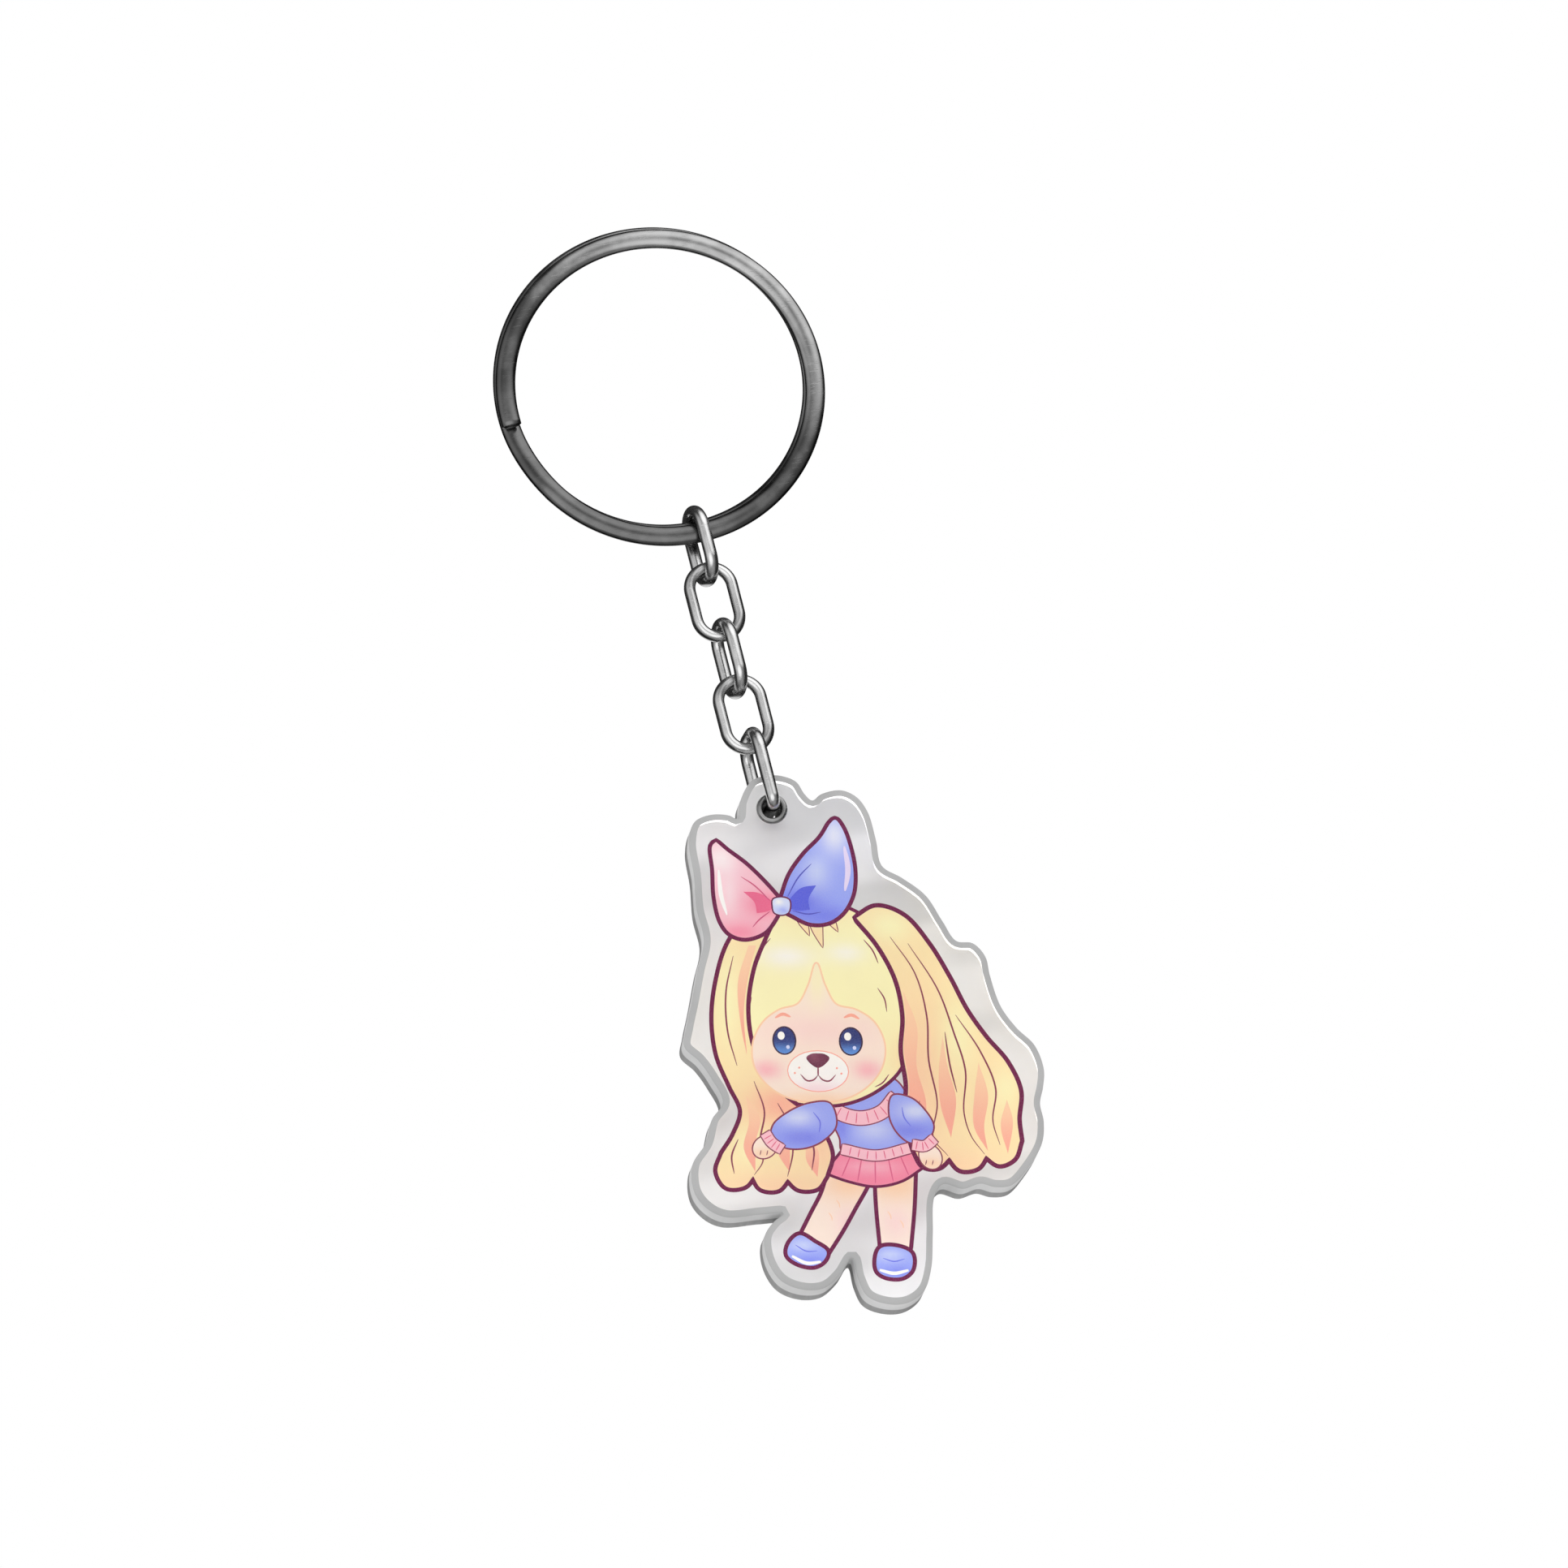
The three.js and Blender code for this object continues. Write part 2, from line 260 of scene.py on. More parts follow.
def floor():
    half, depth = 12.0, -1.5
    mesh = bpy.data.meshes.new("floor")
    corners = [(-half, -half, depth), (half, -half, depth), (half, half, depth), (-half, half, depth)]
    mesh.from_pydata(corners, [], [(0, 1, 2, 3)])
    obj = bpy.data.objects.new("floor", mesh)
    bpy.context.scene.collection.objects.link(obj)
    material, n = blank_material("floor_paper")
    noise = n.add("ShaderNodeTexNoise", {"Scale": 3.0, "Detail": 4.0})
    colour = n.mix(noise.outputs["Fac"], grey(243), grey(247))
    n.surface({"Base Color": colour, "Roughness": 0.9})
    mesh.materials.append(material)
    obj.visible_glossy = False


studio()
floor()


# ---- Materials -----------------------------------------------------------------------------------
def metal(name, dark, light, low, high, painted_shade=0.0):
    """Plated steel: clouded tone, fine scratches, a soft orange-peel, and painted shade that darkens the
    plating towards the lower left."""
    material, n = blank_material(name)
    place = n.add("ShaderNodeTexCoord").outputs["Object"]
    cloud = n.add("ShaderNodeTexNoise", {"Vector": place, "Scale": 420.0, "Detail": 4.0, "Roughness": 0.55})
    fine = n.add("ShaderNodeTexNoise", {"Vector": place, "Scale": 2600.0, "Detail": 3.0})
    stretched = n.add("ShaderNodeMapping", {"Vector": place, "Rotation": (0.3, 0.5, 0.8),
                                            "Scale": (1, 14, 14)})
    scratch = n.add("ShaderNodeTexNoise", {"Vector": stretched.outputs[0], "Scale": 520.0, "Detail": 2.0})
    lines = n.ramp(scratch.outputs["Fac"], 0.6, 0.72)
    colour = n.mix(n.ramp(cloud.outputs["Fac"], 0.35, 0.65), grey(dark), grey(light))
    # Painted shade: the colour darkens towards black to the lower left of the part's origin, by up to
    # painted_shade.
    lower_left = n.add("ShaderNodeVectorMath", {0: place, 1: (-0.6, 0.0, -0.8)},
                       operation="DOT_PRODUCT").outputs["Value"]
    colour = n.mix(n.ramp(lower_left, 2 * MM, 12 * MM, 0.0, painted_shade), colour, grey(0))
    rough = n.ramp(cloud.outputs["Fac"], 0.3, 0.7, low, high)
    rough = n.math("ADD", rough, n.math("MULTIPLY", lines, 0.12))
    height = n.math("ADD", n.math("MULTIPLY", cloud.outputs["Fac"], 0.8), n.math("MULTIPLY", lines, -0.3))
    height = n.math("ADD", height, n.math("MULTIPLY", fine.outputs["Fac"], 0.15))
    bump = n.add("ShaderNodeBump", {"Height": height, "Strength": 0.16, "Distance": 0.00008})
    n.surface({"Base Color": colour, "Metallic": 1.0, "Roughness": rough, "Normal": bump.outputs[0]})
    return material


def acrylic():
    """Clear cast acrylic with polished, faintly wavy faces."""
    material, n = blank_material("clear_acrylic")
    place = n.add("ShaderNodeTexCoord").outputs["Object"]
    cloud = n.add("ShaderNodeTexNoise", {"Vector": place, "Scale": 200.0, "Detail": 2.0})
    tint = n.mix(n.ramp(cloud.outputs["Fac"], 0.35, 0.65), grey(250), grey(253))
    wave = n.add("ShaderNodeTexNoise", {"Vector": place, "Scale": 55.0, "Detail": 1.0})
    bump = n.add("ShaderNodeBump", {"Height": wave.outputs["Fac"], "Strength": 0.1, "Distance": 0.0003})
    n.surface({
        "Base Color": tint,
        "Roughness": 0.02,
        "IOR": 1.49,
        "Transmission Weight": 1.0,
        "Specular Tint": grey(150),
        "Normal": bump.outputs[0],
    })
    return material


def cut_edge():
    """The satin outer edge: pale grey on the front plate's wall, with painted shade making it grey along the
    front rim and darker on the back plate's wall."""
    material, n = blank_material("satin_cut_edge")
    place = n.add("ShaderNodeTexCoord").outputs["Object"]
    depth = n.add("ShaderNodeSeparateXYZ", {0: place}).outputs["Y"]
    streaks = n.add("ShaderNodeMapping", {"Vector": place, "Scale": (1, 0.05, 1)})
    streaks = n.add("ShaderNodeTexNoise", {"Vector": streaks.outputs[0], "Scale": 2400.0,
                                           "Detail": 2.0}).outputs["Fac"]
    cloud = n.add("ShaderNodeTexNoise", {"Vector": place, "Scale": 160.0, "Detail": 2.0}).outputs["Fac"]
    wall = n.mix(n.ramp(cloud, 0.35, 0.65), grey(202), grey(214))
    # Painted shade: the front rim and the back plate's wall get darker greys than the wall between them.
    rim = n.mix(n.ramp(cloud, 0.35, 0.65), grey(176), grey(184))
    back = n.mix(n.ramp(cloud, 0.35, 0.65), grey(142), grey(154))
    colour = n.mix(n.ramp(depth, RIM_TO_WALL[0] * MM, RIM_TO_WALL[1] * MM), rim, wall)
    colour = n.mix(n.ramp(depth, WALL_TO_BACK[0] * MM, WALL_TO_BACK[1] * MM), colour, back)
    bump = n.add("ShaderNodeBump", {"Height": streaks, "Strength": 0.12, "Distance": 0.00003})
    rough = n.ramp(streaks, 0.35, 0.65, 0.42, 0.55)
    n.surface({"Base Color": colour, "Roughness": rough, "Specular IOR Level": 0.2,
               "Normal": bump.outputs[0]})
    return material


def inner_edge(name, dark, light, painted_glow):
    """A cut surface seen from inside the acrylic, drawn pale, with its emission as a painted glow."""
    material, n = blank_material(name)
    place = n.add("ShaderNodeTexCoord").outputs["Object"]
    cloud = n.add("ShaderNodeTexNoise", {"Vector": place, "Scale": 300.0, "Detail": 2.0}).outputs["Fac"]
    colour = n.mix(n.ramp(cloud, 0.35, 0.65), grey(dark), grey(light))
    n.surface({
        "Base Color": colour,
        "Roughness": 0.8,
        "Specular IOR Level": 0.0,
        "Emission Color": (1, 1, 1, 1),
        "Emission Strength": painted_glow,
    })
    return material


def film():
    """The printed film: grey where bare, with soft, broad bands of painted reflection, and elsewhere ink in
    the mesh's own colours with a very fine print grain. The ink layer's alpha tells the two apart."""
    material, n = blank_material("printed_film")
    place = n.add("ShaderNodeTexCoord").outputs["Object"]
    layer = n.add("ShaderNodeVertexColor", layer_name="ink")
    grain = n.add("ShaderNodeTexNoise", {"Vector": place, "Scale": 9000.0, "Detail": 2.0})
    toned = n.mix(n.ramp(grain.outputs["Fac"], 0.35, 0.65, 0.0, 0.04), layer.outputs["Color"], grey(255))
    # Painted reflection: slanted soft bands of lighter and darker grey over the bare film.
    turned = n.add("ShaderNodeMapping", {"Vector": place, "Rotation": (0, 0.6, 0), "Scale": (0.4, 1, 1.7)})
    painted_reflection_band = n.add("ShaderNodeTexNoise", {"Vector": turned.outputs[0], "Scale": 95.0, "Detail": 1.0,
                                        "Roughness": 0.4})
    bare = n.mix(n.ramp(painted_reflection_band.outputs["Fac"], 0.34, 0.56), grey(FILM_DARK), grey(FILM_LIGHT))
    colour = n.mix(layer.outputs["Alpha"], bare, toned)
    n.surface({"Base Color": colour, "Roughness": 0.6, "Specular IOR Level": 0.1})
    return material


# The ring gets painted shade towards its lower left.
gunmetal = metal("dark_plated_steel", 150, 172, 0.16, 0.28, painted_shade=0.6)
link_metal = metal("plated_link_steel", 198, 216, 0.16, 0.28)
eyelet_metal = metal("eyelet_steel", 138, 158, 0.22, 0.36)
clear_acrylic = acrylic()
satin_edge = cut_edge()
# Seen from inside the acrylic: the rim strip, white with a strong painted glow, is a painted highlight; the
# bore wall has a faint painted glow.
painted_highlight_edge = inner_edge("painted_highlight_inner_edge", 250, 255, 0.6)
bore_wall = inner_edge("pale_bore_wall", 218, 228, 0.08)
printed_film = film()


# ---- Mesh helpers --------------------------------------------------------------------------------
def piece(name, vertices, faces, material, body, replaced=(), sharp=40):
    """A smooth-shaded object that rides on a CAD body."""
    mesh = bpy.data.meshes.new(name)
    mesh.from_pydata([tuple(v) for v in vertices], [], faces)
    mesh.polygons.foreach_set("use_smooth", [True] * len(mesh.polygons))
    mesh.set_sharp_from_angle(angle=math.radians(sharp))
    mesh.materials.append(material)
    mesh.update()
    obj = bpy.data.objects.new(name, mesh)
    bpy.context.scene.collection.objects.link(obj)
    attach(obj, body)
    if replaced:
        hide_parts(*replaced)
    return obj


def superellipse(a, b, exponent, count):
    def power(x):
        return math.copysign(abs(x) ** (2 / exponent), x)
    turns = [2 * math.pi * k / count for k in range(count)]
    return [(a * power(math.cos(u)), b * power(math.sin(u))) for u in turns]


def sweep(frames, section, closed, round_ends=0.0):
    """Vertices, in metres, and faces of a section carried along frames (at, across, along, scale) in
    millimetres."""
    if not closed and round_ends:
        frames = rounded_ends(frames, round_ends)
    vertices = []
    for at, across, along, scale in frames:
        vertices += [(at + across * (s * scale) + along * (t * scale)) * MM for s, t in section]
    sides = len(section)
    faces = []
    spans = len(frames) if closed else len(frames) - 1
    for i in range(spans):
        j = (i + 1) % len(frames)
        for k in range(sides):
            m = (k + 1) % sides
            faces.append((i * sides + k, i * sides + m, j * sides + m, j * sides + k))
    if not closed:
        faces.append(tuple(reversed(range(sides))))
        faces.append(tuple(range((len(frames) - 1) * sides, len(frames) * sides)))
    return vertices, faces


def rounded_ends(frames, radius, steps=4):
    """Adds frames that draw the section in at both ends, over the last radius of the path."""
    def end(first, second):
        at, across, along, _ = first
        back = (second[0] - at).normalized()
        made = []
        for i in range(steps):
            a = (i / steps) * math.pi / 2
            made.append((at - back * radius * (1 - math.sin(a)) * 0.5, across, along,
                         0.72 + 0.28 * math.sin(a)))
        return made
    return [*end(frames[0], frames[1]), *frames, *reversed(end(frames[-1], frames[-2]))]


def smoothstep(x, low, high):
    t = min(max((x - low) / (high - low), 0), 1)
    return t * t * (3 - 2 * t)


# ---- Split ring ----------------------------------------------------------------------------------
def split_ring():
    turn_y = (RING_TURN + RING_TURN_GAP) / 2
    start, jog_end = RING_END_GAP, 2 * math.pi
    jog_start = jog_end - RING_JOG
    end = 4 * math.pi - RING_JOG - RING_END_GAP
    frames = []
    for i in range(RING_STEPS + 1):
        u = start + (end - start) * i / RING_STEPS
        angle = RING_SEAM - u
        out = Vector((math.cos(angle), 0, math.sin(angle)))
        back = smoothstep(u, jog_start, jog_end)
        at = out * RING_MIDDLE_R + Vector((0, turn_y * (2 * back - 1),
                                           FRONT_TURN_Z + BACK_TURN_LIFT * back))
        frames.append((at, out, CHARM_OUT, 1.0))
    section = superellipse(RING_BAND / 2, RING_TURN / 2, RING_EXPONENT, RING_SIDES)
    vertices, faces = sweep(frames, section, False, round_ends=0.25)
    piece("split_ring_coil", vertices, faces, gunmetal, "ring", ["split_ring"], sharp=55)


# ---- Links ---------------------------------------------------------------------------------------
def loop_frames(length, width, top_radius, bottom_radius, turn, centre_z):
    half_width, half_length = (width - WIRE) / 2, (length - WIRE) / 2
    corners = (
        (half_width - top_radius, half_length - top_radius, top_radius, 0.0),
        (top_radius - half_width, half_length - top_radius, top_radius, 0.5),
        (bottom_radius - half_width, bottom_radius - half_length, bottom_radius, 1.0),
        (half_width - bottom_radius, bottom_radius - half_length, bottom_radius, 1.5),
    )
    spin = Matrix.Rotation(turn, 3, "Z")
    along = spin @ Vector((0, 1, 0))
    frames = []
    for x, z, radius, quarter in corners:
        for i in range(CORNER_STEPS + 1):
            angle = (quarter + 0.5 * i / CORNER_STEPS) * math.pi
            out = Vector((math.cos(angle), 0, math.sin(angle)))
            at = spin @ (Vector((x, 0, z)) + out * radius) + Vector((0, 0, centre_z))
            if frames and (frames[-1][0] - at).length < 1e-6:
                continue
            frames.append((at, spin @ out, along, 1.0))
    if (frames[0][0] - frames[-1][0]).length < 1e-6:
        frames.pop()
    return frames


def links():
    round_end = (LINK_WIDTH - WIRE) / 2
    edge_on = -math.pi / 2
    turns = (edge_on + LINK_TWIST, 0.0, edge_on + LINK_TWIST, 0.0)
    for n, turn in enumerate(turns):
        frames = loop_frames(LINK_LENGTH, LINK_WIDTH, round_end, round_end, turn, link_centre_z(n))
        vertices, faces = sweep(frames, superellipse(WIRE / 2, LINK_DEPTH / 2, 2, WIRE_SIDES), True)
        name = f"chain_link_{n + 1}"
        piece(f"{name}_wire", vertices, faces, link_metal, f"link_{n + 1}", [name])
    centre = link_centre_z(LINK_COUNT, SHACKLE_LENGTH)
    turn = edge_on + SHACKLE_TWIST
    frames = loop_frames(SHACKLE_LENGTH, SHACKLE_WIDTH, round_end, SHACKLE_CORNER, turn, centre)
    vertices, faces = sweep(frames, superellipse(WIRE / 2, SHACKLE_DEPTH / 2, 2, WIRE_SIDES), True)
    piece("charm_shackle_wire", vertices, faces, link_metal, "shackle", ["charm_shackle"])


# ---- Charm ---------------------------------------------------------------------------------------
def catmull_rom(points, closed=False, step=0.25):
    """Centripetal Catmull-Rom through 2-D points, sampled about every step millimetres."""
    p = [np.array(q, float) for q in points]
    if closed:
        p = [p[-1], *p, p[0], p[1]]
    else:
        p = [2 * p[0] - p[1], *p, 2 * p[-1] - p[-2]]
    made = []
    for a, b, c, d in zip(p, p[1:], p[2:], p[3:]):
        t = [0.0]
        for one, two in ((a, b), (b, c), (c, d)):
            t.append(t[-1] + max(np.linalg.norm(two - one), 1e-6) ** 0.5)
        count = max(1, round(float(np.linalg.norm(c - b)) / step))
        for i in range(count):
            x = t[1] + (t[2] - t[1]) * i / count
            a1 = (t[1] - x) / (t[1] - t[0]) * a + (x - t[0]) / (t[1] - t[0]) * b
            a2 = (t[2] - x) / (t[2] - t[1]) * b + (x - t[1]) / (t[2] - t[1]) * c
            a3 = (t[3] - x) / (t[3] - t[2]) * c + (x - t[2]) / (t[3] - t[2]) * d
            b1 = (t[2] - x) / (t[2] - t[0]) * a1 + (x - t[0]) / (t[2] - t[0]) * a2
            b2 = (t[3] - x) / (t[3] - t[1]) * a2 + (x - t[1]) / (t[3] - t[1]) * a3
            made.append((t[2] - x) / (t[2] - t[1]) * b1 + (x - t[1]) / (t[2] - t[1]) * b2)
    if not closed:
        made.append(p[-2])
    return np.array(made)


# Points [right, up] from the hole's centre, clockwise from the top of the hanging tab.
OUTLINE = [
    (0.1, 3.2), (1.2, 3.1), (2.3, 2.6), (3.0, 1.5), (3.7, 0.9), (4.5, 1.5), (6.3, 1.9), (7.7, 1.3),
    (8.7, -0.1), (9.4, -2.7), (9.9, -5.1), (11.7, -6.2), (13.8, -7.8), (15.3, -10.2), (16.5, -12.0),
    (18.0, -12.2), (19.1, -13.4), (19.5, -15.2), (20.4, -18.0), (21.8, -20.0), (23.4, -21.6),
    (24.2, -23.8), (24.1, -25.5), (23.8, -27.0), (24.1, -28.7), (23.9, -30.7), (22.6, -33.0),
    (21.1, -34.6), (19.6, -34.8), (18.3, -34.5), (16.7, -35.0), (14.9, -34.6), (14.1, -35.8),
    (13.9, -39.3), (13.7, -42.4), (13.0, -44.5), (11.5, -45.6), (9.6, -45.7), (7.9, -45.0),
    (7.1, -43.4), (6.6, -41.5), (5.5, -43.1), (4.1, -44.3), (2.2, -44.5), (0.2, -43.7), (-1.0, -41.8),
    (-1.2, -39.6), (-0.4, -38.3), (0.5, -37.5), (-1.4, -37.6), (-4.7, -37.9), (-6.4, -37.1),
    (-7.5, -35.6), (-7.6, -33.1), (-6.4, -31.1), (-5.8, -28.9), (-4.8, -27.3), (-5.8, -25.1),
    (-6.9, -23.5), (-8.2, -22.2), (-8.0, -20.5), (-7.5, -18.2), (-6.9, -15.1), (-6.3, -12.3),
    (-6.9, -9.4), (-7.1, -6.3), (-7.5, -3.2), (-7.0, -1.3), (-5.6, -0.6), (-3.9, -0.6), (-3.1, -0.9),
    (-2.8, 0.8), (-1.7, 2.7),
]


def inset(points, distance):
    """A clockwise closed line moved inwards by distance."""
    ahead, behind = np.roll(points, -1, 0), np.roll(points, 1, 0)
    along = ahead - behind
    along /= np.linalg.norm(along, axis=1)[:, None]
    return points + distance * np.stack([along[:, 1], -along[:, 0]], 1)


def resampled(points, step):
    """A closed line with its points evenly spaced."""
    closed = np.vstack([points, points[:1]])
    run = np.concatenate([[0], np.cumsum(np.linalg.norm(np.diff(closed, axis=0), axis=1))])
    at = np.linspace(0, run[-1], round(run[-1] / step), endpoint=False)
    return np.stack([np.interp(at, run, closed[:, k]) for k in (0, 1)], 1)


def charm_edge(spacing):
    return resampled(catmull_rom(OUTLINE, closed=True, step=0.1), spacing)


def acrylic_block():
    """The two bonded plates as one block with clear faces, satin rounded rims and the hole for the eyelet."""
    edge = charm_edge(0.2)
    face = CHARM_THICKNESS / 2
    levels = []
    for (width, depth), side in ((FRONT_RIM, -1), (BACK_RIM, 1)):
        arc = []
        for i in range(RIM_STEPS + 1):
            a = i / RIM_STEPS * math.pi / 2
            arc.append((width * (1 - math.sin(a)), side * (face - depth * (1 - math.cos(a)))))
        levels += arc if side < 0 else list(reversed(arc))
    vertices, faces = [], []
    count = len(edge)
    for inwards, y in levels:
        vertices += [on_charm(px, py, y) for px, py in inset(edge, inwards)]
    for i in range(len(levels) - 1):
        for k in range(count):
            m = (k + 1) % count
            faces.append((i * count + k, i * count + m, (i + 1) * count + m, (i + 1) * count + k))
    wall_faces = len(faces)
    hole_count = HOLE_SIDES
    turn = [2 * math.pi * k / hole_count for k in range(hole_count)]
    hole = [(PLATE_HOLE_R * math.cos(a), PLATE_HOLE_R * math.sin(a)) for a in turn]
    hole_at = len(vertices)
    for y in (-face, face):
        vertices += [on_charm(px, py, y) for px, py in hole]
    for k in range(hole_count):
        m = (k + 1) % hole_count
        faces.append((hole_at + k, hole_at + m, hole_at + hole_count + m, hole_at + hole_count + k))
    hole_faces = len(faces)
    loops = [(k, (k + 1) % count) for k in range(count)]
    loops += [(count + k, count + (k + 1) % hole_count) for k in range(hole_count)]
    ring_of = {0: 0, 1: (len(levels) - 1) * count}
    for level, first in ring_of.items():
        rim = inset(edge, (FRONT_RIM, BACK_RIM)[level][0])
        flat = [Vector(p) for p in [*map(tuple, rim), *hole]]
        made, _, triangles, given, *_ = delaunay_2d_cdt(flat, loops, [], 2, 1e-7)
        for t in triangles:
            t = [given[j][0] for j in t]
            if min(t) >= count:  # all three on the hole's circle, so inside the hole
                continue
            ids = [first + i if i < count else hole_at + level * hole_count + i - count for i in t]
            faces.append(tuple(ids) if level == 0 else tuple(reversed(ids)))
    block = piece(
        "acrylic_block", vertices, faces, clear_acrylic, "charm",
        ["front_acrylic", "back_acrylic"], sharp=60,
    )
    mesh = block.data
    mesh.materials.append(satin_edge)
    mesh.materials.append(bore_wall)
    slots = [1] * wall_faces + [2] * (hole_faces - wall_faces) + [0] * (len(faces) - hole_faces)
    mesh.polygons.foreach_set("material_index", slots)
    sharp = mesh.attributes.get("sharp_edge") or mesh.attributes.new("sharp_edge", "BOOLEAN", "EDGE")
    on_face = (set(range(count)), set(range(ring_of[1], ring_of[1] + count)))
    for e in mesh.edges:
        a, b = e.vertices
        if any(a in s and b in s for s in on_face):
            sharp.data[e.index].value = True

    # The same wall from inside: a strip just within it that faces the charm's middle, a painted highlight
    # inside the rim.
    strip = (
        (STRIP_GAP, FRONT_RIM[1] - face),
        (STRIP_GAP, face - BACK_RIM[1]),
        (BACK_RIM[0] + STRIP_END[0], face - STRIP_END[1]),
    )
    vertices = [on_charm(px, py, y) for inwards, y in strip for px, py in inset(edge, inwards)]
    faces = []
    for i in range(len(strip) - 1):
        for k in range(count):
            m = (k + 1) % count
            faces.append((i * count + k, (i + 1) * count + k, (i + 1) * count + m, i * count + m))
    piece("acrylic_inner_edge", vertices, faces, painted_highlight_edge, "charm")


def eyelet():
    """A rolled grommet: a tube with a rounded lip on each face."""
    face = CHARM_THICKNESS / 2
    lip_middle = (EYELET_BORE_R + EYELET_FLANGE_R) / 2
    half = (EYELET_FLANGE_R - EYELET_BORE_R) / 2
    profile = []
    for side in (-1, 1):
        arc = []
        for i in range(LIP_STEPS + 1):
            a = math.pi * i / LIP_STEPS
            arc.append((lip_middle - half * math.cos(a), side * (face + EYELET_FLANGE * math.sin(a))))
        profile += arc if side < 0 else list(reversed(arc))
        if side < 0:
            profile += [(EYELET_BARREL_R, -face), (EYELET_BARREL_R, face)]
    count = HOLE_SIDES
    vertices, faces = [], []
    for k in range(count):
        a = 2 * math.pi * k / count
        vertices += [on_charm(r * math.cos(a), r * math.sin(a), y) for r, y in profile]
    rows = len(profile)
    for k in range(count):
        m = (k + 1) % count
        for i in range(rows):
            j = (i + 1) % rows
            faces.append((k * rows + i, k * rows + j, m * rows + j, m * rows + i))
    piece("eyelet_grommet", vertices, faces, eyelet_metal, "charm", ["eyelet"], sharp=50)


# ---- Printed layer -------------------------------------------------------------------------------
# A long-eared puppy doll in a bow, jumper, skirt and shoes, drawn as overlapping shapes in millimetres
# right and up of the hole's centre. One flat mesh holds it, cut along every line, and each corner takes its
# colour from the topmost shape.
PRINT_LIFT = (0.05, 0.2)  # set towards the top right, because the acrylic shows it lower and further left
PLUM = (110, 8, 70)
INK = (140, 52, 80)
CREAM_YELLOW = (255, 250, 196)
HONEY = (255, 232, 180)
PEACH = (255, 213, 174)
SALMON = (252, 174, 154)
CREAM = (255, 236, 220)
ROSE = (248, 138, 166)
DEEP_ROSE = (230, 104, 140)
PALE_ROSE = (253, 198, 210)
PERIWINKLE = (158, 172, 250)
PALE_BLUE = (214, 224, 255)
DEEP_BLUE = (112, 122, 238)
WHITE = (255, 254, 250)


def spot(x, y, rx, ry, colour, strength=1.0):
    """A soft round touch of colour."""
    def weight(p):
        return strength * np.exp(-(((p[:, 0] - x) / rx) ** 2 + ((p[:, 1] - y) / ry) ** 2))
    return weight, colour


def fade(start, end, colour):
    """A straight gradient that reaches the colour at end."""
    start, end = np.array(start), np.array(end)
    run = end - start

    def weight(p):
        t = np.clip((p - start) @ run / (run @ run), 0, 1)
        return t * t * (3 - 2 * t)
    return weight, colour


def moved(weight):
    """The same touch of colour, carried along with the lifted print."""
    return lambda p: weight(p - np.array(PRINT_LIFT))


def outline(*runs):
    """A closed line made of smooth runs that meet in corners."""
    made = [catmull_rom(run, step=0.2)[:-1] for run in runs]
    return np.vstack(made)


def smooth(*points):
    return catmull_rom(points, closed=True, step=0.2)


def ellipse(x, y, rx, ry, turn=0.0, count=28):
    a = np.linspace(0, 2 * math.pi, count, endpoint=False)
    c, s = math.cos(math.radians(turn)), math.sin(math.radians(turn))
    px, py = rx * np.cos(a), ry * np.sin(a)
    return np.stack([x + c * px - s * py, y + s * px + c * py], 1)


def sided(points):
    """Each point's unit direction to the left of the line, for an open or closed line."""
    along = np.gradient(points, axis=0)
    along /= np.maximum(np.linalg.norm(along, axis=1), 1e-9)[:, None]
    return np.stack([-along[:, 1], along[:, 0]], 1)


def grown(points, distance):
    """A closed line moved outwards by distance."""
    area = np.sum(points[:, 0] * np.roll(points[:, 1], -1) - np.roll(points[:, 0], -1) * points[:, 1])
    return inset(points if area < 0 else points[::-1], -distance)


class Drawing:
    """Shapes from back to front, each a closed line and the colours inside it."""

    def __init__(self):
        self.shapes = []

    def fill(self, points, base, *touches, line=None, width=0.0):
        if line:
            self.shapes.append((grown(points, width), line, ()))
        self.shapes.append((points, base, touches))

    def stroke(self, points, width, colour=INK, taper=0.25):
        middle = catmull_rom(points, step=0.2)
        run = np.linspace(0, 1, len(middle))
        half = width / 2 * (taper + (1 - taper) * np.sin(run * math.pi) ** 0.6)
        side = sided(middle) * half[:, None]
        self.shapes.append((np.vstack([middle + side, (middle - side)[::-1]]), colour, ()))

    def colours(self, shape, points):
        _, base, touches = self.shapes[shape]
        made = np.tile(np.array(base, float), (len(points), 1))
        for weight, colour in touches:
            w = weight(points)[:, None]
            made = made * (1 - w) + np.array(colour, float) * w
        return made

    def topmost(self, points):
        """The topmost shape over each point, or -1."""
        made = np.full(len(points), -1)
        for number, (line, _, _) in enumerate(self.shapes):
            low, high = line.min(0), line.max(0)
            near = np.flatnonzero(((points >= low) & (points <= high)).all(1))
            if not len(near):
                continue
            x, y = points[near].T
            turns = np.zeros(len(near), int)
            for (ax, ay), (bx, by) in zip(line, np.roll(line, -1, 0)):
                left = (bx - ax) * (y - ay) - (x - ax) * (by - ay)
                turns += ((ay <= y) & (by > y) & (left > 0)).astype(int)
                turns -= ((ay > y) & (by <= y) & (left < 0)).astype(int)
            made[near[turns != 0]] = number
        return made


